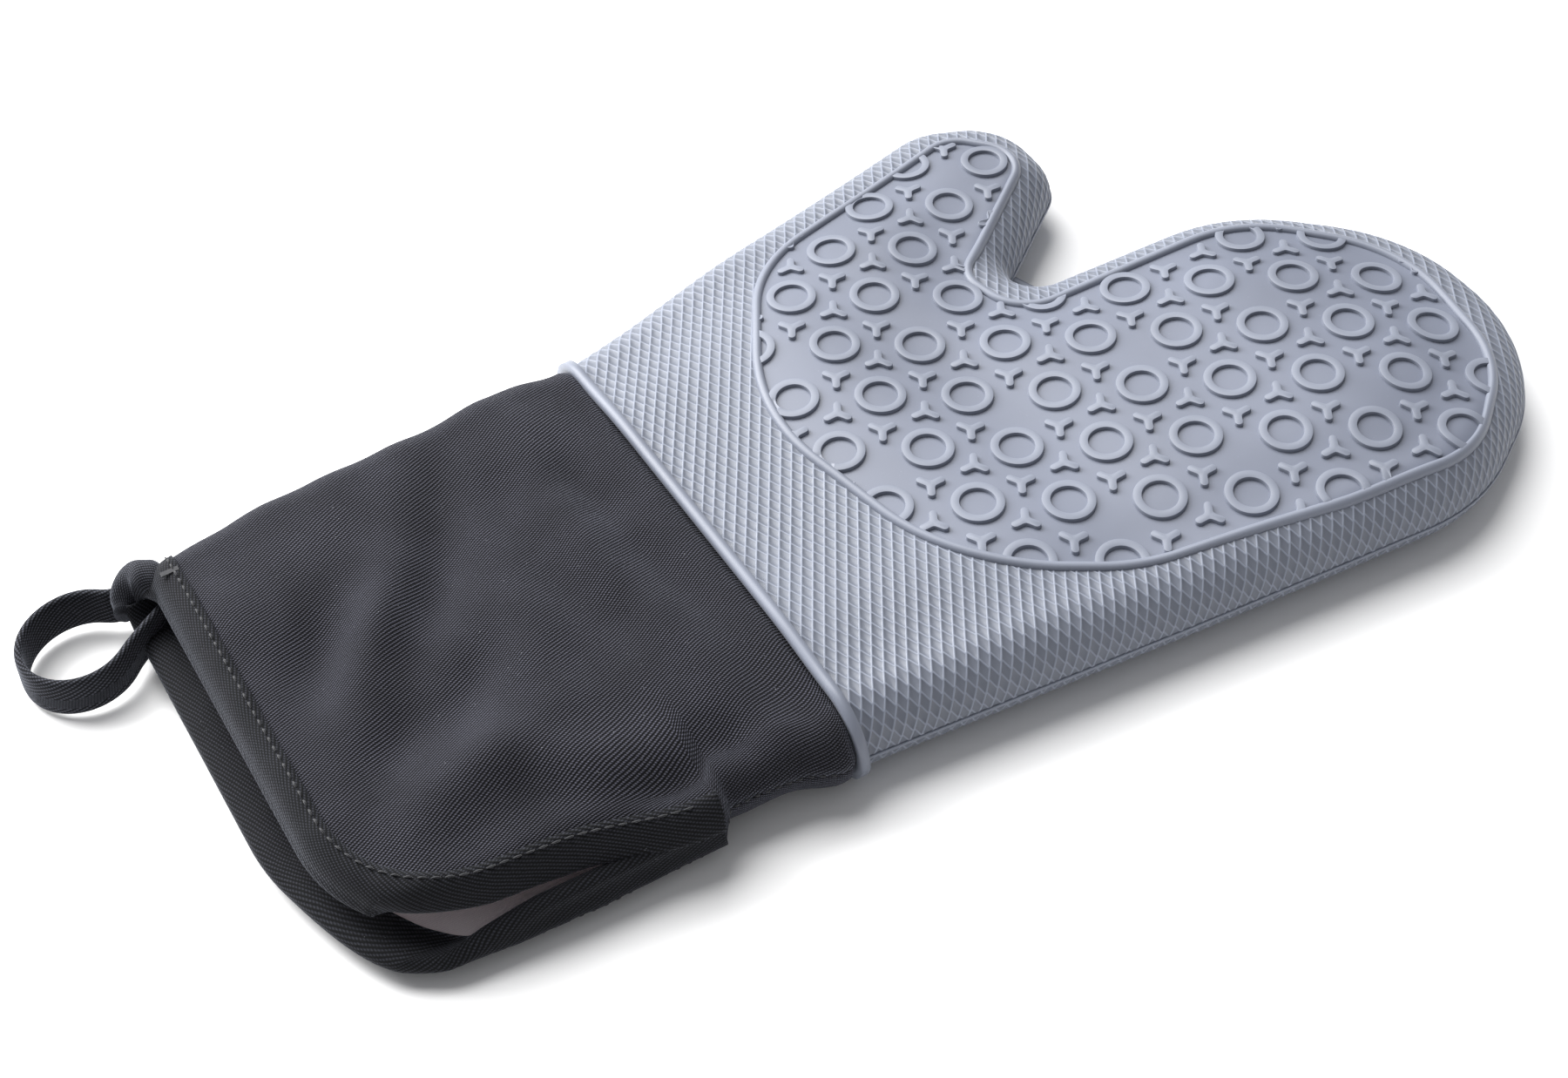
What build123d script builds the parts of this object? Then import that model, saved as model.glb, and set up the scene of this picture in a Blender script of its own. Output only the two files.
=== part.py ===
from build123d import *
from math import cos, radians, sin
import os

# Oven mitt lying palm up.  X runs from the hanging loop to the fingertips,
# Y towards the thumb, Z up.  The origin is under the middle of the whole mitt.

# ---- hand ------------------------------------------------------------------
RELIEF = 1.0  # height of the grip pattern above the silicone wall
WALL_BOTTOM = RELIEF  # outside of the back wall
WALL_TOP = 25.0  # outside of the palm wall
EDGE_ROUND = 11.5  # rounding of the long sides
WRIST_X = -35.0  # open end of the silicone
BEHIND_WRIST = -62.0  # the outline is drawn past the wrist, then cut
SILICONE = 2.0  # wall of the moulding
HAND_PADDING = 2.5
HAND_LINING = 1.0

# corners of the hand outline (x, y) and the rounding of each corner
HAND_START = (BEHIND_WRIST, -77.4)
HAND_CORNERS = [
    (53.4, -90.3, 176),
    (135.9, -98.2, 50),
    (183.5, -69.6, 53),
    (180.0, -18.5, 55),
    (145.0, 18.4, 55),
    (72.5, 24.5, 7),
    (119.7, 60.6, 14.3),
    (120.3, 86.6, 22),
    (95.9, 97.8, 22),
]
HAND_FINISH = (BEHIND_WRIST, 61.2)
WRIST_NEAR_Y = -80.4  # where the outline passes the wrist
WRIST_FAR_Y = 67.4

# ---- grip pattern ------------------------------------------------------------
RING_STEP = 22.0  # distance between neighbouring rings
RING_OUTER = 6.6
RING_INNER = 4.5
LOBE_LENGTH = 3.0  # middle of a three-armed stud to the centre of an arm's end
LOBE_WIDTH = 1.9
FIRST_RING = (25.5, 26.1)
COLUMN_STEP = RING_STEP * sin(radians(60))
LOBE_SHIFT = RING_STEP / 2 * sin(radians(60)) * 2 / 3
BEAD_RADIUS = 1.3
BEAD_SUNK = 0.3  # depth of the bead's centre below the wall surface
FIRST_COLUMN = -2  # columns of rings counted from the first ring
LAST_COLUMN = 8
ROWS = 8
PATTERN_REACH = 105.0
SMALLEST_STUD = 2.0  # cut-off studs below this area are left out, in mm2

# corners of the bead round the grip pattern, with their rounding
GRIP_CORNERS = [
    (-3.6, 15.9, 60),
    (25.0, 65.9, 42),
    (99.1, 85.4, 10.4),
    (114.0, 67.5, 10.5),
    (69.8, 33.2, 9.7),
    (74.1, 12.4, 13.4),
    (141.0, 7.2, 38.4),
    (170.4, -24.7, 38),
    (164.0, -67.5, 37.5),
    (139.0, -89.8, 29),
    (47.5, -75.8, 60),
    (9.8, -54.2, 56.5),
]

# ---- wrist rim -----------------------------------------------------------------
RIM_PROUD = 1.0
RIM_LENGTH = 2.8
RIM_EDGE = 0.95

# ---- cuff -----------------------------------------------------------------------
CUFF_BOTTOM = 1.2
CUFF_TOP = 23.8
CUFF_ROUND = 10.5
CUFF_END_X = -153.5
CUFF_NEAR_Y = (-79.3, -72.8)  # near side at the wrist and at the mouth
CUFF_FAR_Y = (66.2, 60.2)  # thumb side at the wrist and at the mouth
CUFF_CORNER = 23.0  # rounded corner where the mouth turns into the slit
TWILL = 0.8
CUFF_PADDING = 2.0
CUFF_LINING = 0.7
CUFF_WALL = TWILL + CUFF_PADDING + CUFF_LINING
SLIT_END_X = -70.0
SLIT_GAPE = 10.0  # height of the slit at the mouth
BINDING_WIDTH = 10.0
BINDING_TAPE = 0.6
STITCH_INSET = 8.5
STITCH = 0.6
STITCH_PROUD = 0.3
STITCH_SPAN = 92.0
BARTACK_LENGTH = 4.5
BARTACK_WIDTH = 1.4
OVERRUN = 30.0  # cutting blocks reach this far past what they cut
FULL_WIDTH = 240.0  # cutting blocks that go right across the mitt
FULL_LENGTH = 150.0  # cutting blocks that go right along the cuff

# ---- cuff hinge ------------------------------------------------------------------
CUFF_MIDDLE_Z = (CUFF_BOTTOM + CUFF_TOP) / 2
NOSE_RADIUS = (CUFF_TOP - CUFF_BOTTOM) / 2  # round nose that turns beside the rim
HINGE_GAP = 0.6
CUFF_AXIS_X = WRIST_X - NOSE_RADIUS - HINGE_GAP

# ---- hanging loop ------------------------------------------------------------------
LOOP_WIDTH = 10.0  # the tape stands on its edge
LOOP_TAPE = 1.6  # tape folded double
LOOP_BOTTOM = 1.5
LOOP_AXIS = (-157.0, 55.7)
LOOP_REACH = 12.6  # hinge to the middle of the round end
LOOP_RADIUS = 11.8
LOOP_TURN = 184.0  # direction of the loop at rest
KNUCKLE = 1.5  # folded tape ends at the corner
KNUCKLE_GAP = 0.3

os.makedirs("parts", exist_ok=True)


def hand_block(inset):
    """Closed block of the hand with every side moved in by inset, longer than the wrist."""
    with BuildPart() as block:
        with BuildSketch(Plane.XY.offset(WALL_BOTTOM + inset)):
            with BuildLine():
                points = [HAND_START] + [(x, y) for x, y, r in HAND_CORNERS] + [HAND_FINISH]
                FilletPolyline(*points, radius=[r for x, y, r in HAND_CORNERS])
                Line(HAND_FINISH, HAND_START)
            make_face()
            if inset > 0:
                offset(amount=-inset)
        extrude(amount=WALL_TOP - WALL_BOTTOM - 2 * inset)
        faces = block.faces().filter_by(Axis.Z)
        fillet(faces.edges(), radius=EDGE_ROUND - inset)
    return block.part


def grip_loop():
    """Centre line of the bead, as a closed wire on the XY plane."""
    with BuildLine() as loop:
        points = [(x, y) for x, y, r in GRIP_CORNERS]
        FilletPolyline(*points, radius=[r for x, y, r in GRIP_CORNERS], close=True)
    return loop.line


def grip_studs():
    """Rings and three-armed studs in a triangular pattern, cut off at the bead."""
    rings = []
    right_lobes = []
    left_lobes = []
    for column in range(FIRST_COLUMN, LAST_COLUMN + 1):
        for row in range(-ROWS, ROWS + 1):
            x = FIRST_RING[0] + column * COLUMN_STEP
            y = FIRST_RING[1] - (column / 2 + row) * RING_STEP
            if abs(y) > PATTERN_REACH:
                continue
            rings.append((x, y))
            right_lobes.append((x - LOBE_SHIFT, y - RING_STEP / 2))
            blank = column % 2 == 1 and (row + (column + 1) // 2) % 2 == 0
            if not blank:
                left_lobes.append((x + LOBE_SHIFT, y - RING_STEP / 2))
    with BuildSketch() as grip_area:
        make_face(grip_loop().edges())
    with BuildSketch() as studs:
        with Locations(*rings):
            Circle(RING_OUTER)
        with Locations(*rings):
            Circle(RING_INNER, mode=Mode.SUBTRACT)
        with Locations(*right_lobes):
            with PolarLocations(LOBE_LENGTH / 2, 3):
                SlotCenterToCenter(LOBE_LENGTH, LOBE_WIDTH)
        with Locations(*left_lobes):
            with PolarLocations(LOBE_LENGTH / 2, 3, start_angle=60):
                SlotCenterToCenter(LOBE_LENGTH, LOBE_WIDTH)
        add(grip_area.sketch, mode=Mode.INTERSECT)
    return [face for face in studs.faces() if face.area > SMALLEST_STUD]


HAND_OUTSIDE = hand_block(0)
HAND_HOLLOW = hand_block(SILICONE)
HAND_LINED = hand_block(SILICONE + HAND_PADDING)
HAND_POCKET = hand_block(SILICONE + HAND_PADDING + HAND_LINING)
HAND_MIDDLE_Z = (WALL_BOTTOM + WALL_TOP) / 2
GRIP_LOOP = grip_loop()
STUDS = grip_studs()

# ---- silicone moulding -------------------------------------------------------------
with BuildPart() as silicone_shell:
    add(HAND_OUTSIDE)
    split(bisect_by=Plane.YZ.offset(WRIST_X), keep=Keep.TOP)
    wrist_width = WRIST_FAR_Y - WRIST_NEAR_Y
    with BuildSketch(Plane.YZ.offset(WRIST_X)):
        with Locations(((WRIST_FAR_Y + WRIST_NEAR_Y) / 2, HAND_MIDDLE_Z)):
            RectangleRounded(
                wrist_width + 2 * RIM_PROUD,
                WALL_TOP - WALL_BOTTOM + 2 * RIM_PROUD,
                EDGE_ROUND + RIM_PROUD,
            )
    extrude(amount=RIM_LENGTH)
    rim_edges = silicone_shell.faces().filter_by(Axis.X).sort_by(Axis.X)[0].edges()
    fillet(rim_edges, radius=RIM_EDGE)
    for surface_z, side in ((WALL_TOP, 1), (WALL_BOTTOM, -1)):
        path = GRIP_LOOP.moved(Location((0, 0, surface_z - side * BEAD_SUNK)))
        with BuildSketch(Plane(origin=path @ 0, z_dir=path % 0)):
            Circle(BEAD_RADIUS)
        sweep(path=path)
        with BuildSketch(Plane.XY.offset(surface_z)):
            add(STUDS)
        extrude(amount=side * RELIEF)
    add(HAND_HOLLOW, mode=Mode.SUBTRACT)

silicone_shell.part.label = "silicone_shell"
export_step(silicone_shell.part, "parts/silicone_shell.step")


def hand_layer(outside, inside, keep):
    """One panel of a layer inside the hand, on one side of the mitt's middle."""
    with BuildPart() as layer:
        add(outside)
        add(inside, mode=Mode.SUBTRACT)
        split(bisect_by=Plane.YZ.offset(WRIST_X), keep=Keep.TOP)
        split(bisect_by=Plane.XY.offset(HAND_MIDDLE_Z), keep=keep)
    return layer.part


with BuildPart() as hand_padding_palm:
    add(hand_layer(HAND_HOLLOW, HAND_LINED, Keep.TOP))
with BuildPart() as hand_padding_back:
    add(hand_layer(HAND_HOLLOW, HAND_LINED, Keep.BOTTOM))
with BuildPart() as hand_lining_palm:
    add(hand_layer(HAND_LINED, HAND_POCKET, Keep.TOP))
with BuildPart() as hand_lining_back:
    add(hand_layer(HAND_LINED, HAND_POCKET, Keep.BOTTOM))

hand_padding_palm.part.label = "hand_padding_palm"
hand_padding_back.part.label = "hand_padding_back"
hand_lining_palm.part.label = "hand_lining_palm"
hand_lining_back.part.label = "hand_lining_back"
export_step(hand_padding_palm.part, "parts/hand_padding_palm.step")
export_step(hand_padding_back.part, "parts/hand_padding_back.step")
export_step(hand_lining_palm.part, "parts/hand_lining_palm.step")
export_step(hand_lining_back.part, "parts/hand_lining_back.step")


# ---- cuff -------------------------------------------------------------------------
def side_y(side_pair, x):
    """Y of a straight cuff side at x."""
    along = (WRIST_X - x) / (WRIST_X - CUFF_END_X)
    return side_pair[0] + (side_pair[1] - side_pair[0]) * along


def cuff_block(inset):
    """Closed block of the cuff with every side moved in by inset, too long at both ends."""
    front_x = WRIST_X + OVERRUN
    rear_x = CUFF_END_X - OVERRUN
    with BuildPart() as block:
        with BuildSketch(Plane.XY.offset(CUFF_BOTTOM + inset)):
            with BuildLine():
                Polyline(
                    (front_x, side_y(CUFF_NEAR_Y, front_x) + inset),
                    (rear_x, side_y(CUFF_NEAR_Y, rear_x) + inset),
                    (rear_x, side_y(CUFF_FAR_Y, rear_x) - inset),
                    (front_x, side_y(CUFF_FAR_Y, front_x) - inset),
                    close=True,
                )
            make_face()
        extrude(amount=CUFF_TOP - CUFF_BOTTOM - 2 * inset)
        faces = block.faces().filter_by(Axis.Z)
        long_edges = faces.edges().filter_by(lambda e: abs((e % 0.5).X) > 0.9)
        fillet(long_edges, radius=CUFF_ROUND - inset)
    return block.part


def mouth_plan(grow):
    """Block under the plan outline of the mouth and slit edge, with its sides moved out by grow."""
    near_y = CUFF_NEAR_Y[1] - grow
    wrist_near_y = CUFF_NEAR_Y[0] - grow
    far_y = CUFF_FAR_Y[0] + OVERRUN
    with BuildPart() as block:
        with BuildSketch():
            with BuildLine():
                FilletPolyline(
                    (WRIST_X + OVERRUN, wrist_near_y),
                    (WRIST_X, wrist_near_y),
                    (CUFF_END_X - grow, near_y),
                    (CUFF_END_X - grow, far_y),
                    radius=[OVERRUN, CUFF_CORNER + grow],
                )
                Polyline(
                    (CUFF_END_X - grow, far_y),
                    (WRIST_X + OVERRUN, far_y),
                    (WRIST_X + OVERRUN, wrist_near_y),
                )
            make_face()
        extrude(amount=WALL_TOP + 2 * RELIEF)
    return block.part


def slit_wedge(grow):
    """Wedge of air between the two edges of the slit, on the near side only."""
    rear_x = CUFF_END_X - OVERRUN
    half = SLIT_GAPE / 2 * (SLIT_END_X - rear_x) / (SLIT_END_X - CUFF_END_X) + grow
    with BuildPart() as wedge:
        with BuildSketch(Plane.XZ.offset(-side_y(CUFF_NEAR_Y, CUFF_END_X) - CUFF_CORNER)):
            with BuildLine():
                Polyline(
                    (SLIT_END_X + grow, CUFF_MIDDLE_Z),
                    (rear_x, CUFF_MIDDLE_Z + half),
                    (rear_x, CUFF_MIDDLE_Z - half),
                    close=True,
                )
            make_face()
        extrude(amount=CUFF_CORNER + OVERRUN)
    return wedge.part


with BuildPart() as cuff_nose_block:
    with BuildSketch(Plane.XZ.offset(-FULL_WIDTH / 2)):
        with Locations((CUFF_AXIS_X, CUFF_MIDDLE_Z)):
            Circle(NOSE_RADIUS)
        with Locations((CUFF_AXIS_X, CUFF_MIDDLE_Z)):
            Rectangle(FULL_LENGTH, WALL_TOP * 2, align=(Align.MAX, Align.CENTER))
    extrude(amount=FULL_WIDTH)

CUFF_NOSE = cuff_nose_block.part
MOUTH = mouth_plan(0)
SLIT = slit_wedge(0)


def cuff_panel(outer_inset, inner_inset, keep):
    """One panel of a cuff layer, on one side of the mitt's middle."""
    outside = cuff_block(outer_inset)
    inside = cuff_block(inner_inset)
    with BuildPart() as panel:
        add(outside)
        add(inside, mode=Mode.SUBTRACT)
        add(CUFF_NOSE, mode=Mode.INTERSECT)
        add(MOUTH, mode=Mode.INTERSECT)
        add(SLIT, mode=Mode.SUBTRACT)
        split(bisect_by=Plane.XY.offset(CUFF_MIDDLE_Z), keep=keep)
    return panel.part


with BuildPart() as cuff_outer_palm:
    add(cuff_panel(0, TWILL, Keep.TOP))
with BuildPart() as cuff_outer_back:
    add(cuff_panel(0, TWILL, Keep.BOTTOM))
with BuildPart() as cuff_padding_palm:
    add(cuff_panel(TWILL, TWILL + CUFF_PADDING, Keep.TOP))
with BuildPart() as cuff_padding_back:
    add(cuff_panel(TWILL, TWILL + CUFF_PADDING, Keep.BOTTOM))
with BuildPart() as cuff_lining_palm:
    add(cuff_panel(TWILL + CUFF_PADDING, CUFF_WALL, Keep.TOP))
with BuildPart() as cuff_lining_back:
    add(cuff_panel(TWILL + CUFF_PADDING, CUFF_WALL, Keep.BOTTOM))

cuff_outer_palm.part.label = "cuff_outer_palm"
cuff_outer_back.part.label = "cuff_outer_back"
cuff_padding_palm.part.label = "cuff_padding_palm"
cuff_padding_back.part.label = "cuff_padding_back"
cuff_lining_palm.part.label = "cuff_lining_palm"
cuff_lining_back.part.label = "cuff_lining_back"
export_step(cuff_outer_palm.part, "parts/cuff_outer_palm.step")
export_step(cuff_outer_back.part, "parts/cuff_outer_back.step")
export_step(cuff_padding_palm.part, "parts/cuff_padding_palm.step")
export_step(cuff_padding_back.part, "parts/cuff_padding_back.step")
export_step(cuff_lining_palm.part, "parts/cuff_lining_palm.step")
export_step(cuff_lining_back.part, "parts/cuff_lining_back.step")

# ---- binding tape folded over the edges of the mouth and slit ---------------------
TAPE_OUTSIDE = cuff_block(-BINDING_TAPE)
TAPE_INSIDE = cuff_block(CUFF_WALL + BINDING_TAPE)
TAPE_EDGE = mouth_plan(BINDING_TAPE)
TAPE_INNER_EDGE = mouth_plan(-BINDING_WIDTH)
TAPE_SLIT = slit_wedge(-BINDING_TAPE)
LAYERS_OUTSIDE = cuff_block(0)
LAYERS_INSIDE = cuff_block(CUFF_WALL)


def folded_binding(keep):
    """Tape wrapped round the edge of one panel, from the thumb side to the end of the slit."""
    with BuildPart() as layers:
        add(LAYERS_OUTSIDE)
        add(LAYERS_INSIDE, mode=Mode.SUBTRACT)
        add(MOUTH, mode=Mode.INTERSECT)
        add(SLIT, mode=Mode.SUBTRACT)
    with BuildPart() as tape:
        add(TAPE_OUTSIDE)
        add(TAPE_INSIDE, mode=Mode.SUBTRACT)
        add(TAPE_EDGE, mode=Mode.INTERSECT)
        add(TAPE_INNER_EDGE, mode=Mode.SUBTRACT)
        add(TAPE_SLIT, mode=Mode.SUBTRACT)
        add(layers.part, mode=Mode.SUBTRACT)
        split(bisect_by=Plane.YZ.offset(SLIT_END_X), keep=Keep.BOTTOM)
        split(bisect_by=Plane.XY.offset(CUFF_MIDDLE_Z), keep=keep)
    return tape.part


with BuildPart() as edge_binding_palm:
    add(folded_binding(Keep.TOP))
with BuildPart() as edge_binding_back:
    add(folded_binding(Keep.BOTTOM))

edge_binding_palm.part.label = "edge_binding_palm"
edge_binding_back.part.label = "edge_binding_back"
export_step(edge_binding_palm.part, "parts/edge_binding_palm.step")
export_step(edge_binding_back.part, "parts/edge_binding_back.step")

# ---- hanging loop -------------------------------------------------------------------
LOOP_CENTRE = (
    LOOP_AXIS[0] + LOOP_REACH * cos(radians(LOOP_TURN)),
    LOOP_AXIS[1] + LOOP_REACH * sin(radians(LOOP_TURN)),
)
# the tape starts this side of the knuckle, so that it clears the corner as it swings
LOOP_START = (
    LOOP_AXIS[0] + KNUCKLE * cos(radians(LOOP_TURN)),
    LOOP_AXIS[1] + KNUCKLE * sin(radians(LOOP_TURN)),
)

with BuildPart() as hanging_loop:
    with BuildSketch(Plane.XY.offset(LOOP_BOTTOM)):
        with Locations(LOOP_CENTRE):
            Circle(LOOP_RADIUS)
        with Locations(LOOP_AXIS):
            Circle(LOOP_TAPE)
        make_hull()
        with Locations(LOOP_CENTRE):
            Circle(LOOP_RADIUS - LOOP_TAPE, mode=Mode.SUBTRACT)
        with Locations(LOOP_AXIS):
            Circle(KNUCKLE + KNUCKLE_GAP, mode=Mode.SUBTRACT)
        with Locations(LOOP_START):
            Rectangle(
                LOOP_RADIUS,
                LOOP_RADIUS,
                rotation=LOOP_TURN - 180,
                align=(Align.MIN, Align.CENTER),
                mode=Mode.SUBTRACT,
            )
    extrude(amount=LOOP_WIDTH)

with BuildPart() as loop_ends:
    with BuildSketch(Plane.XY.offset(LOOP_BOTTOM)):
        with Locations(LOOP_AXIS):
            Circle(KNUCKLE)
        with Locations(LOOP_AXIS):
            Rectangle(
                CUFF_END_X - BINDING_TAPE - LOOP_AXIS[0],
                2 * KNUCKLE,
                align=(Align.MIN, Align.CENTER),
            )
    extrude(amount=LOOP_WIDTH)

hanging_loop.part.label = "hanging_loop"
loop_ends.part.label = "loop_ends"
export_step(hanging_loop.part, "parts/hanging_loop.step")
export_step(loop_ends.part, "parts/loop_ends.step")

# ---- threads --------------------------------------------------------------------------
with BuildPart() as binding_stitch_palm:
    with BuildSketch(Plane.XY.offset(CUFF_TOP + BINDING_TAPE)):
        with Locations((CUFF_END_X + STITCH_INSET, 0)):
            Rectangle(STITCH, STITCH_SPAN)
    extrude(amount=STITCH_PROUD)

with BuildPart() as binding_stitch_back:
    with BuildSketch(Plane.XY.offset(CUFF_BOTTOM - BINDING_TAPE)):
        with Locations((CUFF_END_X + STITCH_INSET, 0)):
            Rectangle(STITCH, STITCH_SPAN)
    extrude(amount=-STITCH_PROUD)


def seam_thread(side_pair, outward, start_x, end_x):
    """Thread along the middle of a cuff side, lying on the twill."""
    with BuildPart() as thread:
        with BuildSketch(Plane.XY.offset(CUFF_MIDDLE_Z - STITCH / 2)):
            with BuildLine():
                Polyline(
                    (start_x, side_y(side_pair, start_x)),
                    (end_x, side_y(side_pair, end_x)),
                    (end_x, side_y(side_pair, end_x) + outward * STITCH_PROUD),
                    (start_x, side_y(side_pair, start_x) + outward * STITCH_PROUD),
                    close=True,
                )
            make_face()
        extrude(amount=STITCH)
    return thread.part


with BuildPart() as side_seam_near:
    add(seam_thread(CUFF_NEAR_Y, -1, SLIT_END_X + 1, CUFF_AXIS_X))
with BuildPart() as side_seam_far:
    add(seam_thread(CUFF_FAR_Y, 1, CUFF_END_X + BINDING_WIDTH + 1, CUFF_AXIS_X))

with BuildPart() as loop_bartack:
    with BuildSketch(Plane.XY.offset(CUFF_TOP + BINDING_TAPE)):
        with Locations((CUFF_END_X + BARTACK_LENGTH, CUFF_FAR_Y[1] - CUFF_ROUND)):
            Rectangle(BARTACK_LENGTH, BARTACK_WIDTH)
    extrude(amount=STITCH_PROUD)

binding_stitch_palm.part.label = "binding_stitch_palm"
binding_stitch_back.part.label = "binding_stitch_back"
side_seam_near.part.label = "side_seam_near"
side_seam_far.part.label = "side_seam_far"
loop_bartack.part.label = "loop_bartack"
export_step(binding_stitch_palm.part, "parts/binding_stitch_palm.step")
export_step(binding_stitch_back.part, "parts/binding_stitch_back.step")
export_step(side_seam_near.part, "parts/side_seam_near.step")
export_step(side_seam_far.part, "parts/side_seam_far.step")
export_step(loop_bartack.part, "parts/loop_bartack.step")
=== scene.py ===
import bpy
import math
import numpy as np
from mathutils import Matrix, Vector


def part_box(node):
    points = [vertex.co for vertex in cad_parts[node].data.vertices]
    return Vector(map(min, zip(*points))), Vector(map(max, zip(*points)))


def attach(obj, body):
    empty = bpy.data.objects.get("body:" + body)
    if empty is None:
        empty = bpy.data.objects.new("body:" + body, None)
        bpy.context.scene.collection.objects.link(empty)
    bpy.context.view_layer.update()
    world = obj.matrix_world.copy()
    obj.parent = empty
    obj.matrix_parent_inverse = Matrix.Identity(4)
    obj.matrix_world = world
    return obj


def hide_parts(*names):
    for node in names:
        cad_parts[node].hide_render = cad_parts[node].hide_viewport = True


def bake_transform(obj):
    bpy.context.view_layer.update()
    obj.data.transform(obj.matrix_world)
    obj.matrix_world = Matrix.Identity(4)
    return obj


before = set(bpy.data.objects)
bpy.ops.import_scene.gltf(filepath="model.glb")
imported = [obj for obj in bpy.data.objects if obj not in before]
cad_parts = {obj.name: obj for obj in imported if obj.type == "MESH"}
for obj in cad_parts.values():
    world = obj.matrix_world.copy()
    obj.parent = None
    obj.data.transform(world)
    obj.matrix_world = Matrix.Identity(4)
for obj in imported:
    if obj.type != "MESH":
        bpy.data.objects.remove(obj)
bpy.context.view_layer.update()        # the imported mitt: bodies hand, cuff and loop

# Shapes are worked out in millimetres, in the frame of the CAD model, and stored in metres.
MM = 0.001
PALM, BACK = 1, -1
SIDE_NAMES = {PALM: "palm", BACK: "back"}

# ---- silicone hand --------------------------------------------------------------
BEHIND_WRIST = -62.0
HAND_START = (BEHIND_WRIST, -77.4)
HAND_CORNERS = [  # (x, y, radius) from the near side round the finger end and the thumb
    (53.4, -90.3, 176),
    (135.9, -98.2, 50),
    (183.5, -69.6, 53),
    (184.5, -13.6, 52),
    (148.2, 21.2, 55),
    (72.5, 24.5, 7),
    (119.7, 60.6, 14.3),
    (120.8, 87.4, 22),
    (95.4, 99.0, 22),
]
HAND_FINISH = (BEHIND_WRIST, 61.2)
GRIP_CORNERS = [  # (x, y, radius) of the bead round the grip pattern
    (-3.6, 15.9, 60),
    (25.0, 65.9, 42),
    (99.1, 85.4, 10.4),
    (114.0, 67.5, 10.5),
    (69.8, 33.2, 9.7),
    (74.1, 12.4, 13.4),
    (144.2, 10.0, 38.4),
    (173.8, -22.0, 38),
    (165.5, -68.2, 37.5),
    (139.0, -90.3, 29),
    (102.0, -86.6, 90),
    (47.5, -75.8, 60),
    (9.8, -54.2, 56.5),
]
LIP_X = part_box("silicone_shell")[0].x / MM  # open end of the silicone
PART_Z = 10.0  # parting line of the mould, round the side
PARTING_RIDGE = (0.36, 0.55, 0.12)  # half depth, half height and how far it stands proud
WALL_Z = {PALM: 24.6, BACK: 1.0}  # outside of the two broad walls
SIDE_WIDTH = 11.7  # plan width of the rounded side
SIDE_REACH = {PALM: 18.4, BACK: 16.0}  # length of wall from shoulder to parting line
EDGE_DROP = 2.2  # the palm wall falls this much towards its edges
EDGE_DROP_WIDTH = 24.0
PATH_STEP = 0.5
PANEL_STEP = 1.4  # grid of the smooth field inside the bead
LAYER_STEP = 3.0  # grid of the padding and the lining
LAYER_GAP = 1.5  # the padding and the lining end this far above the parting line
NEAR_RUN, FAR_RUN = 400, 250  # points of the shoulder line along the straight near and far sides

LATTICE_X = 3.165  # size of one diamond of the side texture
LATTICE_Y = 5.18
RIDGE_HEIGHT = 0.19
CROSS_RIDGE = 0.85  # height of the crossing ridges, as a share
RIDGE_STAGGER = -0.16  # the crossing ridges step aside at each long ridge
RIDGE_PROFILE = [(0, 1), (0.06, 0.8), (0.12, 0), (0.5, 0), (0.88, 0), (0.94, 0.8)]  # (place, height)

RING_STEP = 22.0
FIRST_RING = (25.5, 26.1)
RING_RADIUS = 5.55
RING_HALF_WIDTH = 1.12
ARM_LENGTH = 3.0
ARM_HALF_WIDTH = 1.05
ARM_FILLET = 0.16  # the fillet between two arms fills the corner by this much
ARM_FILLET_REACH = 0.6
RELIEF = 1.0  # height of the rings and studs
STUD_PROFILE = [(0.0, -0.1), (0.04, 0.8), (0.11, 0.96), (0.22, 1.0)]  # (inset, height share)
STUD_MOSTLY_PAST = 0.8  # a stud with more than this share beyond the bead is left out
BEAD_RADIUS = 1.3
BEAD_SUNK = 0.05
BEAD_STEP = 1.2
RIM_LENGTH = 2.8
RIM_SECTION = [  # (distance from the lip, height above the wall)
    (0.0, -2.4), (0.0, 0.25), (0.25, 0.72), (0.8, 1.0), (1.5, 1.05),
    (2.2, 0.9), (2.65, 0.5), (2.85, 0.0), (2.9, -0.6), (2.4, -2.4),
]

# ---- cuff -------------------------------------------------------------------------
CUFF_MIDDLE_Z = 12.5
CUFF_HALF_HEIGHT = 11.3
CUFF_SIDE_WIDTH = 10.5
CUFF_END_X = -153.5
MOUTH_X = {PALM: -156.5, BACK: -160.0}  # edge of each panel
CUFF_NEAR_Y = (-79.3, -72.8)  # at the wrist and at the mouth
CUFF_FAR_Y = (66.2, 60.2)
CUFF_CORNER = {PALM: 40.0, BACK: 58.0}
CUFF_FRONT_X = -31.0  # raw edge of the cloth, inside the rim
SLIT_END_X = -70.0
SLIT_REACH = {PALM: 11.5, BACK: 14.5}  # wall from the shoulder to the slit's edge at the mouth
TWILL_WALL = 0.7
PADDING_WALL = 2.0
LINING_WALL = 0.5
CUFF_WALL = TWILL_WALL + PADDING_WALL + LINING_WALL
TAPE = 0.6  # the tape's face stands this far above the twill
TAPE_WALL = 0.5
BINDING_WIDTH = 10.0
BINDING_INSIDE = 9.0  # width of the tape on the lining
BINDING_FOLD = 1.9  # the fold of the tape stands out this far over the edge
STITCH_INSET = 8.4
STITCH_LEVEL = {PALM: TAPE + 0.34, BACK: TAPE - 0.12}
STITCHED = slice(9, -4)  # points of the bound edge between the far seam and the slit's end
SEAM_LEVEL = -0.12
CUFF_PANEL_GIRTH = 165  # of one panel, in whole millimetres
FLOOR_GAP = 0.1  # the underside lies this far above the floor
LAYER_REST = 0.2  # inner layers that reach the floor rest this much higher
RIM_SINK = 2.0  # the cloth dives this deep under the silicone
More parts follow.
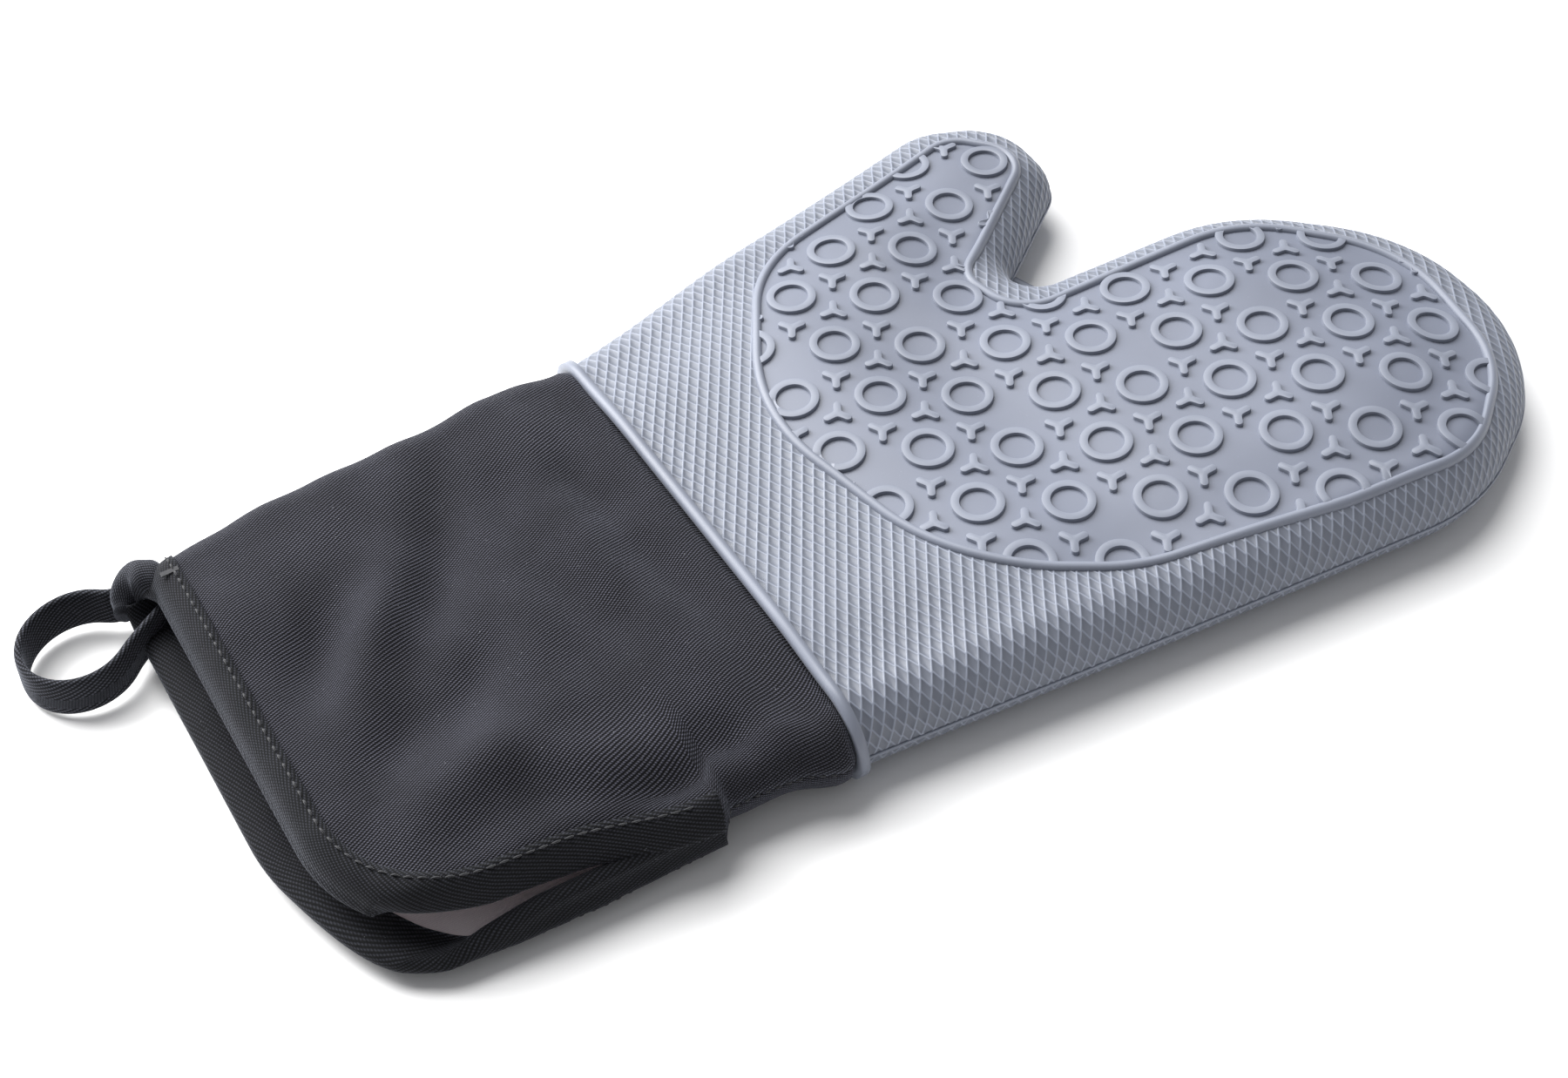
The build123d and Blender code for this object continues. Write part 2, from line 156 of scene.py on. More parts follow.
RIM_SINK_RUN = 1.2

# sideways moves of the cloth; a pair gives the x where a move starts and where it is complete
WRIST_PULL = (2.6, -40, 7)  # (move, x, width): the near side is drawn in before the rim
RIM_PULL = (1.6, -38, 7)
SIDE_BAND = 24  # width of the band beside a shoulder that moves
LIPS_X = (-66.0, -69.5)  # the lips of the slit stand out
LIP_OUT = {PALM: 4.5, BACK: 6.5}
PALM_LIP_X = (-104.0, -74.0)  # the palm's lip joins its rounded corner
BACK_SPREAD = 1.5
BACK_SPREAD_X = (-72.0, -97.0)
BACK_LEAN = 3.5  # the back's side wall leans in again by this much
BACK_LEAN_ANGLE = (0.6, 1.5)
FAR_BULGE = 2.0
FAR_WAVES = [(0.9, -56, 9), (0.8, -119, 12)]  # (move, x, width)

# curl of the bound edges
BACK_CURL = 2.6
PALM_ROLL = 5.0
PALM_ROLL_WIDTH = 10
PALM_TUCK = 3.2

# ---- hanging loop -------------------------------------------------------------------
LOOP_AXIS = (-157.0, 55.7)
LOOP_REACH = 18.3
LOOP_RADIUS = 14.2
LOOP_TURN = 182.0
LOOP_ARC = (-142, 136)  # degrees of the round end, from one strand to the other
LOOP_ENDS = (-5.0, 3.0)  # sideways places of the two sewn ends
LOOP_SEWN = 3.0  # depth of the sewn ends in the corner
LOOP_WIDTH = 10.0
LOOP_TAPE = 2.3
LOOP_BOTTOM = 1.0
LOOP_LEAN = 0.16
LOOP_LIFT = 1.6  # the sewn ends stand this much higher than the round end
CORNER_FOLD = [  # (x, y, z) along the end of the palm binding that is turned round the loop's base
    (-150.0, 52.5, 17.6),
    (-153.4, 58.4, 16.6),
    (-157.2, 61.4, 14.4),
    (-160.8, 60.4, 11.6),
    (-162.4, 57.0, 9.8),
]
CORNER_FOLD_SIZE = (4.7, 5.8)  # half width and half height
CORNER_FOLD_LENGTH = 26


# =====================================================================================
# plane curves
# =====================================================================================
def arc_at(corner, before, after, radius):
    """Points of the arc that rounds one corner of a polygon."""
    corner = np.array(corner, float)
    back = np.array(before, float) - corner
    forth = np.array(after, float) - corner
    back /= np.linalg.norm(back)
    forth /= np.linalg.norm(forth)
    half = math.acos(np.clip(back @ forth, -1, 1)) / 2
    bisector = (back + forth) / np.linalg.norm(back + forth)
    centre = corner + bisector * radius / math.sin(half)
    start = corner + back * radius / math.tan(half) - centre
    finish = corner + forth * radius / math.tan(half) - centre
    first = math.atan2(start[1], start[0])
    turn = math.atan2(start[0] * finish[1] - start[1] * finish[0], start @ finish)
    angles = first + turn * np.linspace(0, 1, max(3, int(abs(turn) / 0.03)))
    return centre + radius * np.column_stack([np.cos(angles), np.sin(angles)])


def distance_along(line):
    """Distance from the start of a line to each of its points."""
    return np.r_[0, np.cumsum(np.linalg.norm(np.diff(line, axis=0), axis=1))]


def unit(vectors):
    """Rows of an array, each made one long."""
    return vectors / np.linalg.norm(vectors, axis=1)[:, None]


def evenly(points, step):
    """The same line with points about step apart."""
    along = distance_along(points)
    places = np.linspace(0, along[-1], max(2, round(along[-1] / step) + 1))
    return np.column_stack([np.interp(places, along, column) for column in points.T])


def softened(line, times):
    """The line with its kinks averaged out between its two ends."""
    for _ in range(times):
        line[1:-1] = (line[:-2] + 2 * line[1:-1] + line[2:]) / 4
    return line


def rounded_path(corners, ends=None, step=PATH_STEP):
    """A polygon with rounded corners (x, y, radius): open between two ends, or closed."""
    places = [corner[:2] for corner in corners]
    if ends:
        places = [ends[0]] + places + [ends[1]]
        chain = [np.array([ends[0]], float)]
        for number, (x, y, radius) in enumerate(corners):
            chain.append(arc_at((x, y), places[number], places[number + 2], radius))
        chain.append(np.array([ends[1]], float))
        return evenly(np.concatenate(chain), step)
    chain = []
    for number, (x, y, radius) in enumerate(corners):
        after = places[(number + 1) % len(places)]
        chain.append(arc_at((x, y), places[number - 1], after, radius))
    chain.append(chain[0][:1])
    return evenly(np.concatenate(chain), step)[:-1]


class Contour:
    """A plane line that turns left round its inside, with its outward normals."""

    CHUNK = 4000  # points compared with the line at a time, which bounds the memory

    def __init__(self, line, closed):
        self.closed = closed
        if closed:
            tangent = np.roll(line, -1, axis=0) - np.roll(line, 1, axis=0)
        else:
            tangent = np.gradient(line, axis=0)
        tangent = unit(tangent)
        self.line = line
        self.normal = np.column_stack([tangent[:, 1], -tangent[:, 0]])

    def inset(self, amount):
        inner = Contour(self.line, self.closed)
        inner.line = self.line - self.normal * amount
        return inner

    def locate(self, points):
        """How far outside the line each point is, the nearest place on it and the normal there."""
        half_square = (self.line ** 2).sum(1) / 2
        nearest = np.empty(len(points), int)
        for start in range(0, len(points), self.CHUNK):
            part = slice(start, start + self.CHUNK)
            nearest[part] = (half_square - points[part] @ self.line.T).argmin(1)
        best = np.full(len(points), np.inf)
        outside = np.zeros(len(points))
        foot = np.zeros_like(points)
        normal = np.zeros_like(points)
        count = len(self.line)
        for shift in (-1, 0):
            a = nearest + shift
            b = a + 1
            if self.closed:
                a, b = a % count, b % count
            else:
                a, b = a.clip(0, count - 2), b.clip(1, count - 1)
            far = ((points - self.line[a]) * self.normal[a]).sum(1)[:, None]
            start = self.line[a] + self.normal[a] * far
            run = self.line[b] + self.normal[b] * far - start
            share = ((points - start) * run).sum(1) / np.maximum((run * run).sum(1), 1e-12)
            share = share.clip(0, 1)[:, None]
            here = self.line[a] * (1 - share) + self.line[b] * share
            facing = self.normal[a] * (1 - share) + self.normal[b] * share
            facing /= np.linalg.norm(facing, axis=1)[:, None]
            off = points - here
            out = (off * facing).sum(1)
            miss = np.linalg.norm(off - facing * out[:, None], axis=1)
            better = miss < best
            best[better] = miss[better]
            outside[better] = out[better]
            foot[better] = here[better]
            normal[better] = facing[better]
        return outside, foot, normal


def smooth_step(value):
    """Zero below zero, one above one and a smooth rise between."""
    value = np.clip(value, 0, 1)
    return value * value * (3 - 2 * value)


def rise(value, start, finish):
    """A smooth change from zero at start to one at finish."""
    return smooth_step((value - start) / (finish - start))


def hump(value, middle, width):
    """A bell of height one."""
    return np.exp(-(((value - middle) / width) ** 2))


def quarter_table(width, height):
    """Angle from the top of a quarter ellipse, for shares of its length."""
    angles = np.linspace(0, math.pi / 2, 400)
    speed = np.hypot(width * np.cos(angles), height * np.sin(angles))
    length = np.r_[0, np.cumsum((speed[1:] + speed[:-1]) / 2 * np.diff(angles))]
    return length / length[-1], angles, length[-1]


# =====================================================================================
# meshes
# =====================================================================================
def add_piece(name, points, faces, material, weave=None):
    """A smooth mesh piece from points in millimetres. weave is each point's place in the cloth."""
    mesh = bpy.data.meshes.new(name)
    faces = faces.tolist() if isinstance(faces, np.ndarray) else faces
    mesh.from_pydata((np.asarray(points, float) * MM).tolist(), [], faces)
    mesh.validate()
    mesh.shade_smooth()
    if material:
        mesh.materials.append(material)
    if weave is not None:
        values = np.zeros((len(points), 3))
        values[:, :weave.shape[1]] = weave * MM
        layer = mesh.attributes.new("weave", "FLOAT_VECTOR", "POINT")
        layer.data.foreach_set("vector", values.ravel())
    piece = bpy.data.objects.new(name, mesh)
    bpy.context.scene.collection.objects.link(piece)
    return piece


def plan_grid(x, y):
    """Points (x, y) at every crossing of two rows of values."""
    return np.stack(np.meshgrid(x, y, indexing="ij"), -1)


def grid_quads(rows, columns):
    """The four point numbers of each cell of a grid."""
    number = np.arange(rows * columns).reshape(rows, columns)
    return np.stack([number[:-1, :-1], number[1:, :-1], number[1:, 1:], number[:-1, 1:]], -1)


def trimmed_grid(points, inside, snapped):
    """The quads of a grid that touch the inside. Corners just outside move to their snapped place."""
    near = inside.copy()
    padded = np.pad(inside, 1)
    rows, columns = inside.shape
    for i in range(3):
        for j in range(3):
            near |= padded[i:i + rows, j:j + columns]
    place = np.where(inside[..., None], points, snapped).reshape(-1, points.shape[-1])
    corners = [near[:-1, :-1], near[1:, :-1], near[1:, 1:], near[:-1, 1:]]
    real = [inside[:-1, :-1], inside[1:, :-1], inside[1:, 1:], inside[:-1, 1:]]
    keep = np.logical_and.reduce(corners) & np.logical_or.reduce(real)
    quads = grid_quads(rows, columns)[keep]
    sides = [place[quads[:, k]] - place[quads[:, k - 1]] for k in range(4)]
    longest = np.max([np.hypot(side[:, 0], side[:, 1]) for side in sides], axis=0)
    quads = quads[longest < 2.2 * np.median(longest) + 0.4]
    used, quads = np.unique(quads, return_inverse=True)
    return place[used], quads.reshape(-1, 4), used


def facing(faces, side):
    """Faces turned to look out of the palm or out of the back."""
    return faces if side == PALM else faces[:, ::-1]


def tube_faces(count, around, closed):
    """Quads of a tube of count sections, each a closed ring of points."""
    i = np.arange(count if closed else count - 1)[:, None]
    j = np.arange(around)[None, :]
    nxt = (i + 1) % count
    turn = (j + 1) % around
    here, there = i * around, nxt * around
    return np.stack([here + j, here + turn, there + turn, there + j], -1).reshape(-1, 4)


def tube(sections, closed):
    """Points and faces of a tube through rings of points. Open ends are closed with a cap."""
    count, around = sections.shape[:2]
    faces = tube_faces(count, around, closed).tolist()
    if not closed:
        faces.append(list(range(around))[::-1])
        faces.append([(count - 1) * around + j for j in range(around)])
    return sections.reshape(-1, sections.shape[-1]), faces


def joined(parts):
    """Several (points, faces) as one."""
    points, faces, start = [], [], 0
    for part_points, part_faces in parts:
        points.append(part_points)
        part_faces = part_faces.tolist() if isinstance(part_faces, np.ndarray) else part_faces
        faces += [[start + k for k in face] for face in part_faces]
        start += len(part_points)
    return np.concatenate(points), faces


# =====================================================================================
# the hand's surface
# =====================================================================================
OUTLINE = Contour(rounded_path(HAND_CORNERS, (HAND_START, HAND_FINISH)), closed=False)
SHOULDER = OUTLINE.inset(SIDE_WIDTH)
GRIP = Contour(rounded_path(GRIP_CORNERS)[::-1], closed=True)

FIELD_STEP = 2.5  # grid of the crown's heights
FIELD_X = np.arange(-60, 215, FIELD_STEP)
FIELD_Y = np.arange(-120, 125, FIELD_STEP)


def blurred(field, times):
    """A field of heights with each point averaged with its neighbours."""
    for _ in range(times):
        edge = np.pad(field, 1, mode="edge")
        field = (edge[:-2, 1:-1] + 2 * edge[1:-1, 1:-1] + edge[2:, 1:-1]) / 4
        edge = np.pad(field, 1, mode="edge")
        field = (edge[1:-1, :-2] + 2 * edge[1:-1, 1:-1] + edge[1:-1, 2:]) / 4
    return field


def read_field(field, xs, ys, x, y):
    """A field between its grid points."""
    i = np.clip((x - xs[0]) / (xs[1] - xs[0]), 0, len(xs) - 1.001)
    j = np.clip((y - ys[0]) / (ys[1] - ys[0]), 0, len(ys) - 1.001)
    a, b = i.astype(int), j.astype(int)
    s, t = i - a, j - b
    low = field[a, b] * (1 - s) + field[a + 1, b] * s
    high = field[a, b + 1] * (1 - s) + field[a + 1, b + 1] * s
    return low * (1 - t) + high * t


def make_crown():
    """Height of the palm wall above its nominal level: soft undulations and a fall to the edges."""
    x, y = np.meshgrid(FIELD_X, FIELD_Y, indexing="ij")
    outside = SHOULDER.locate(np.column_stack([x.ravel(), y.ravel()]))[0].reshape(x.shape)
    fall = EDGE_DROP * rise(outside, -EDGE_DROP_WIDTH, 0)
    wave = 1.1 * hump(x, 122, 24) * hump(y, -45, 50)  # full over the fingers
    wave -= 1.1 * hump(x, 50, 17) * rise(y, 40, 0)  # hollow across the palm's near half
    wave += 1.3 * hump(x, 50, 22) * hump(y, 62, 24)  # full at the thumb's root
    wave += 2.0 * hump(x, 18, 20) * rise(y, -40, 40)  # full on the far half, behind the thumb
    wave -= 0.5 * hump(x, -14, 12)  # hollow between the pattern and the wrist
    wave -= 1.6 * rise(x, 138, 172)  # low at the finger end
    return blurred(wave - fall, 6)


CROWN = make_crown()
QUARTER = {}
for side in (PALM, BACK):
    QUARTER[side] = quarter_table(SIDE_WIDTH, abs(WALL_Z[side] - PART_Z))[:2]


def on_hand(side, flat, height=0.0):
    """Places on the silicone wall. Flat places beyond the shoulder lie down the rounded side."""
    outside, foot, normal = SHOULDER.locate(flat)
    down = np.clip(outside, 0, None) / SIDE_REACH[side]
    angle = np.interp(down, *QUARTER[side])
    sideways = SIDE_WIDTH * np.sin(angle)
    plan = np.where((outside > 0)[:, None], foot + normal * sideways[:, None], flat)
    depth = abs(WALL_Z[side] - PART_Z)
    z = PART_Z + side * depth * np.cos(angle)
    if side == PALM:
        z = z + read_field(CROWN, FIELD_X, FIELD_Y, plan[:, 0], plan[:, 1]) * np.cos(angle)
    lean = (np.sin(angle) / SIDE_WIDTH)[:, None]
    direction = unit(np.column_stack([normal * lean, side * np.cos(angle) / depth]))
    return np.column_stack([plan, z]) + direction * np.reshape(height, (-1, 1))


def plan_x(side, flat):
    """X of places on the wall, how far behind their flat places they are, and their shoulder foot."""
    outside, foot, normal = SHOULDER.locate(flat)
    angle = np.interp(np.clip(outside, 0, None) / SIDE_REACH[side], *QUARTER[side])
    lead = normal[:, 0] * (np.clip(outside, 0, None) - SIDE_WIDTH * np.sin(angle))
    return flat[:, 0] - lead, lead, outside, foot, normal


def lattice_lines(low, high):
    """Places of the grid lines across one family of ridges, and the ridge height at each."""
    whole = np.arange(math.floor(low), math.ceil(high))
    places = [whole + share for share, height in RIDGE_PROFILE]
    heights = [np.full(len(whole), float(height)) for share, height in RIDGE_PROFILE]
    order = np.argsort(np.concatenate(places))
    return np.concatenate(places)[order], np.concatenate(heights)[order]


def lattice_grid(reach_x, reach_y):
    """Flat grid along both families of ridges over a box of the plan, with the ridges' height."""
    low_x, high_x = np.array(reach_x) / LATTICE_X
    low_y, high_y = np.array(reach_y) / LATTICE_Y
    lean, lean_ridge = lattice_lines(low_x - high_y, high_x - low_y)
    cross, cross_ridge = lattice_lines(low_x + low_y, high_x + high_y)
    lean_at, cross_at = np.meshgrid(lean, cross, indexing="ij")
    between = lean_at - np.floor(lean_at)
    step = np.interp(between, [0, RIDGE_PROFILE[2][0], RIDGE_PROFILE[4][0], 1], [0, -1, 1, 0])
    cross_at = cross_at + RIDGE_STAGGER / 2 * step
    x = (lean_at + cross_at) / 2 * LATTICE_X
    y = (cross_at - lean_at) / 2 * LATTICE_Y
    first, second = np.meshgrid(lean_ridge, cross_ridge * CROSS_RIDGE, indexing="ij")
    return np.stack([x, y], -1), RIDGE_HEIGHT * (first + second * (1 - first))


def textured_skin(side, material):
    """The diamond texture outside the grip pattern, down to the parting line and back to the lip."""
    reach_x = (LIP_X - 4, OUTLINE.line[:, 0].max() + 10)
    reach_y = (OUTLINE.line[:, 1].min() - 10, OUTLINE.line[:, 1].max() + 10)
    flat, ridge = lattice_grid(reach_x, reach_y)
    window = (flat[..., 0] > reach_x[0]) & (flat[..., 0] < reach_x[1])
    window &= (flat[..., 1] > reach_y[0]) & (flat[..., 1] < reach_y[1])
    inside = np.zeros(window.shape, bool)
    snapped = flat.copy()
    places = flat[window]
    x, lead, outside, foot, normal = plan_x(side, places)
    beyond_bead, bead_foot, _ = GRIP.locate(places)
    within = (x > LIP_X) & (outside < SIDE_REACH[side]) & (beyond_bead > 0)
    moved = places.copy()
    low = outside >= SIDE_REACH[side]
    moved[low] = foot[low] + normal[low] * SIDE_REACH[side]
    moved[beyond_bead <= 0] = bead_foot[beyond_bead <= 0]
    behind = x <= LIP_X
    moved[behind, 0] = (LIP_X + lead)[behind]
    inside[window] = within
    snapped[window] = moved
    points, quads, used = trimmed_grid(flat, inside, snapped)
    depth = SIDE_REACH[side] - SHOULDER.locate(points)[0]
    from_bead = GRIP.locate(points)[0]
    fade = smooth_step(depth / 0.8) * smooth_step((from_bead - 0.9) / 0.5)
    relief = ridge.ravel()[used] * fade
    place = on_hand(side, points, relief)
    place[:, 0] = np.maximum(place[:, 0], LIP_X)
    name = "silicone_" + SIDE_NAMES[side] + "_texture"
    # the third column is the ridge height, which sets the painted highlight on the crests and the
    # painted shade in the grooves
    shade = np.column_stack([points, relief / RIDGE_HEIGHT / MM])
    return add_piece(name, place, facing(quads, side), material, shade)


def smooth_panel(side, material):
    """The smooth field inside the bead."""
    step = PANEL_STEP
    low, high = GRIP.line.min(0) - 2 * step, GRIP.line.max(0) + 2 * step
    flat = plan_grid(np.arange(low[0], high[0], step), np.arange(low[1], high[1], step))
    beyond, foot, _ = GRIP.locate(flat.reshape(-1, 2))
    inside = (beyond < 0).reshape(flat.shape[:2])
    points, quads, _ = trimmed_grid(flat, inside, foot.reshape(flat.shape))
    name = "silicone_" + SIDE_NAMES[side] + "_panel"
    return add_piece(name, on_hand(side, points), facing(quads, side), material, points)


def cut_at_bead(plan, height):
    """Plan points and heights with what lies beyond the bead pulled down under it."""
    beyond, foot, _ = GRIP.locate(plan)
    past = beyond > 0
    plan = np.where(past[:, None], foot, plan)
    return plan, np.where(past, 0.3, height), past


def ring_stud(centre, segments=56):
    """A flat-topped ring with rounded edges: points (x, y, height) and quads."""
    section = []
    for inset, share in STUD_PROFILE:
        section.append((RING_RADIUS + RING_HALF_WIDTH - inset, share * RELIEF))
    for inset, share in reversed(STUD_PROFILE):
        section.append((RING_RADIUS - RING_HALF_WIDTH + inset, share * RELIEF))
    turn = np.arange(segments) / segments * 2 * math.pi
    radius, height = np.array(section).T
    x = centre[0] + radius[None, :] * np.cos(turn)[:, None]
    y = centre[1] + radius[None, :] * np.sin(turn)[:, None]
    points = np.stack([x, y, np.broadcast_to(height, x.shape)], -1).reshape(-1, 3)
    around = len(section)
    i = np.arange(segments)[:, None]
    j = np.arange(around - 1)[None, :]
    nxt = (i + 1) % segments
    here, there = i * around + j, nxt * around + j
    quads = np.stack([here, there, there + 1, here + 1], -1)
    return points, quads.reshape(-1, 4)[:, ::-1]


def toward(angle):
    """Plane direction at an angle."""
    return np.array([math.cos(angle), math.sin(angle)])


def arm_outline(half_width, first_arm):
    """Outline of a three-armed stud whose arms have rounded ends and filleted roots."""
    points = []
    for arm in range(3):
        along = first_arm + arm * 2 * math.pi / 3
        for k in range(9):
            end_way = toward(along + math.pi * (k / 8 - 0.5))
            points.append(toward(along) * ARM_LENGTH + half_width * end_way)
        root_way = toward(along + math.pi / 3)
        corner = half_width / math.sin(math.pi / 3) * root_way
        for share in (-1.0, -0.4, 0.0, 0.4, 1.0):
            arm_way = toward(along if share < 0 else along + 2 * math.pi / 3)
            bulge = ARM_FILLET * (1 - abs(share)) * root_way
            points.append(corner + arm_way * abs(share) * ARM_FILLET_REACH + bulge)
    return np.array(points)


def arm_stud(centre, first_arm):
    """A three-armed stud with rounded edges: points (x, y, height) and faces."""
    rings = []
    for inset, share in STUD_PROFILE:
        plan = arm_outline(ARM_HALF_WIDTH - inset, first_arm) + centre
        rings.append(np.column_stack([plan, np.full(len(plan), share * RELIEF)]))
    around = len(rings[0])
    faces = tube_faces(len(rings), around, False).tolist()
    top = (len(rings) - 1) * around
    middle = len(rings) * around
    faces += [[top + k, top + (k + 1) % around, middle] for k in range(around)]
    peak = np.array([[centre[0], centre[1], RELIEF]])
    return np.concatenate(rings + [peak]), faces


def stud_places():
    """Centres of the rings, and centres with arm directions of the three-armed studs."""
    rings, arms = [], []
    column_step = RING_STEP * math.sin(math.pi / 3)
    shift = column_step / 3
    for column in range(-2, 9):
        for row in range(-8, 9):
            x = FIRST_RING[0] + column * column_step
            y = FIRST_RING[1] - (column / 2 + row) * RING_STEP
            rings.append((x, y))
            arms.append((x - shift, y - RING_STEP / 2, 0.0))
            blank = column % 2 == 1 and (row + (column + 1) // 2) % 2 == 0
            if not blank:
                arms.append((x + shift, y - RING_STEP / 2, math.pi / 3))
    return rings, arms


def studs(side, material):
    """All the rings and three-armed studs of one grip pattern, cut off at the bead."""
    rings, arms = stud_places()
    made = [ring_stud(place) for place in rings]
    made += [arm_stud(np.array(place[:2]), place[2]) for place in arms]
    kept = []
    for points, faces in made:
        plan, height, past = cut_at_bead(points[:, :2], points[:, 2])
        if past.mean() > STUD_MOSTLY_PAST:
            continue
        faces = faces.tolist() if isinstance(faces, np.ndarray) else faces
        faces = [face for face in faces if not past[face].all()]
        kept.append((np.column_stack([plan, height]), faces))
    points, faces = joined(kept)
    place = on_hand(side, points[:, :2], points[:, 2])
    if side == BACK:
        faces = [face[::-1] for face in faces]
    name = "silicone_" + SIDE_NAMES[side] + "_studs"
    piece = add_piece(name, place, faces, material, points[:, :2])
    piece.data.set_sharp_from_angle(angle=math.radians(32))
    return piece


def bead(side, material):
    """The round bead along the edge of the grip pattern."""
    line = evenly(np.concatenate([GRIP.line, GRIP.line[:1]]), BEAD_STEP)[:-1]
    contour = Contour(line, closed=True)
    sections = []
    for angle in np.arange(14) / 14 * 2 * math.pi:
        flat = line + contour.normal * BEAD_RADIUS * math.cos(angle)
        place = on_hand(side, flat, -BEAD_SUNK)
        place[:, 2] += side * BEAD_RADIUS * math.sin(angle)
        sections.append(place)
    points, faces = tube(np.stack(sections, axis=1), closed=True)
    if side == PALM:
        faces = [face[::-1] for face in faces]
    return add_piece("silicone_" + SIDE_NAMES[side] + "_bead", points, faces, material)


def wrist_section(x):
    """The closed outline of the silicone at one X: points (y, z) and outward directions."""
    near = np.interp(x, *SHOULDER.line[:NEAR_RUN].T)
    far = np.interp(x, *SHOULDER.line[::-1][:FAR_RUN].T)
    rings = []
    for side in (PALM, BACK):
        turn = np.linspace(0, math.pi / 2, 14)
        depth = abs(WALL_Z[side] - PART_Z)
        across = np.linspace(far, near, 60)[1:-1]
        y = np.r_[far + SIDE_WIDTH * np.sin(turn[::-1]), across, near - SIDE_WIDTH * np.sin(turn)]
        z = np.r_[depth * np.cos(turn[::-1]), np.full(58, depth), depth * np.cos(turn)]
        if side == PALM:
            z = z + read_field(CROWN, FIELD_X, FIELD_Y, np.full(len(y), x), y) * z / depth
        ring = np.column_stack([y, PART_Z + side * z])
        rings.append(ring if side == PALM else ring[::-1][1:-1])
    ring = evenly(np.concatenate(rings + [rings[0][:1]]), 1.5)[:-1]
    tangent = unit(np.roll(ring, -1, axis=0) - np.roll(ring, 1, axis=0))
    return ring, np.column_stack([-tangent[:, 1], tangent[:, 0]])


def wrist_rim(material):
    """The raised rim round the open end."""
    ring, outward = wrist_section(LIP_X + RIM_LENGTH / 2)
    sections = []
    for along, proud in RIM_SECTION:
        place = ring + outward * proud
        sections.append(np.column_stack([np.full(len(ring), LIP_X + along), place]))
    points, faces = tube(np.stack(sections, axis=1), closed=True)
    return add_piece("silicone_wrist_rim", points, faces, material)


def parting_ridge(material):
    """The fine line that the mould leaves along the side."""
    line = evenly(OUTLINE.line[OUTLINE.line[:, 0] > LIP_X + 1], BEAD_STEP)
    contour = Contour(line, closed=False)
    half_depth, half_height, proud = PARTING_RIDGE
    sections = []
    for angle in np.arange(8) / 8 * 2 * math.pi:
        plan = line + contour.normal * (half_depth * math.cos(angle) + proud)
        height = np.full(len(line), PART_Z + half_height * math.sin(angle))
        sections.append(np.column_stack([plan, height]))
    points, faces = tube(np.stack(sections, axis=1), closed=False)
    return add_piece("silicone_parting_line", points, faces, material)


def hand_layer(name, side, inset, material, thickness):
    """A layer of cloth or padding inside one half of the silicone."""
    step = LAYER_STEP
    low, high = OUTLINE.line.min(0) - 2 * step, OUTLINE.line.max(0) + 2 * step
    flat = plan_grid(np.arange(LIP_X + 5, high[0], step), np.arange(low[1], high[1], step))
    outside, foot, normal = SHOULDER.locate(flat.reshape(-1, 2))
    reach = SIDE_REACH[side] - LAYER_GAP
    inside = (outside < reach).reshape(flat.shape[:2])
    snapped = (foot + normal * reach).reshape(flat.shape)
    points, quads, _ = trimmed_grid(flat, inside, snapped)
    place = on_hand(side, points, -inset)
    place[:, 0] = np.maximum(place[:, 0], LIP_X + 0.5)
    middles = place[quads][..., :2].mean(1)
    quads = quads[OUTLINE.locate(middles)[0] < -1.0]  # none cross the gap beside the thumb
    piece = add_piece(name, place, facing(quads, side), material, points)
    return thickened(piece, thickness)


def thickened(piece, thickness):
    """The piece with a thickness added on its inner side, as a final mesh."""
    solid = piece.modifiers.new("thickness", "SOLIDIFY")
    solid.thickness = thickness * MM
    solid.offset = -1
    return finished(piece)


def finished(piece):
    """The piece with its modifiers made part of the mesh."""
    graph = bpy.context.evaluated_depsgraph_get()
    mesh = bpy.data.meshes.new_from_object(piece.evaluated_get(graph))
    piece.modifiers.clear()
    piece.data = mesh
    return piece


# =====================================================================================
# the cuff's surface
# =====================================================================================
CUFF_SHARE, CUFF_ANGLES, CUFF_REACH = quarter_table(CUFF_SIDE_WIDTH, CUFF_HALF_HEIGHT)


def cuff_side(pair, x):
    """Y of a cuff side, or the middle of its curve, at x."""
    along = (LIP_X - x) / (LIP_X - CUFF_END_X)
    return pair[0] + (pair[1] - pair[0]) * along


def shoulders(x):
    """Y of the near and the far shoulder of the cuff."""
    return cuff_side(CUFF_NEAR_Y, x) + CUFF_SIDE_WIDTH, cuff_side(CUFF_FAR_Y, x) - CUFF_SIDE_WIDTH


def spread_out(side, x, v, angle):
    """Sideways move of the cloth: the lips of the slit stand out, and the far side waves."""
    near, far = shoulders(x)
    lips = rise(x, *LIPS_X)
    tucked = rise(x, LIP_X, LIP_X - RIM_SINK_RUN)
    held = -WRIST_PULL[0] * hump(x, *WRIST_PULL[1:]) - RIM_PULL[0] * hump(x, *RIM_PULL[1:]) * tucked
    if side == PALM:
        move = held - LIP_OUT[side] * lips * rise(x, *PALM_LIP_X)
    else:
        spread = BACK_SPREAD * rise(x, *BACK_SPREAD_X)
        leaning_in = (BACK_LEAN * lips + spread) * rise(angle, *BACK_LEAN_ANGLE)
        move = held - LIP_OUT[side] * lips - spread + leaning_in
    waves = sum(size * hump(x, middle, width) for size, middle, width in FAR_WAVES)
    bulge = (FAR_BULGE + waves) * rise(x, -38, -50) * rise(x, -152, -128)
    return move * rise(v, near + SIDE_BAND, near) + bulge * rise(v, far - SIDE_BAND, far)


def pillow(side, x, v):
    """The padded palm panel is lower towards its near side and fuller along the far side."""
    if side == BACK:
        return 0
    near, far = shoulders(x)
    fuller = 0.8 * rise(x, -40, -54) * rise(x, -146, -120)
    return fuller * rise(v, far - 30, far) - 1.6 * rise(v, near + 26, near)


FOLD_STRENGTH = 1.9  # height of all the folds
FINE_RIPPLE = 0.14  # height of the unevenness between them
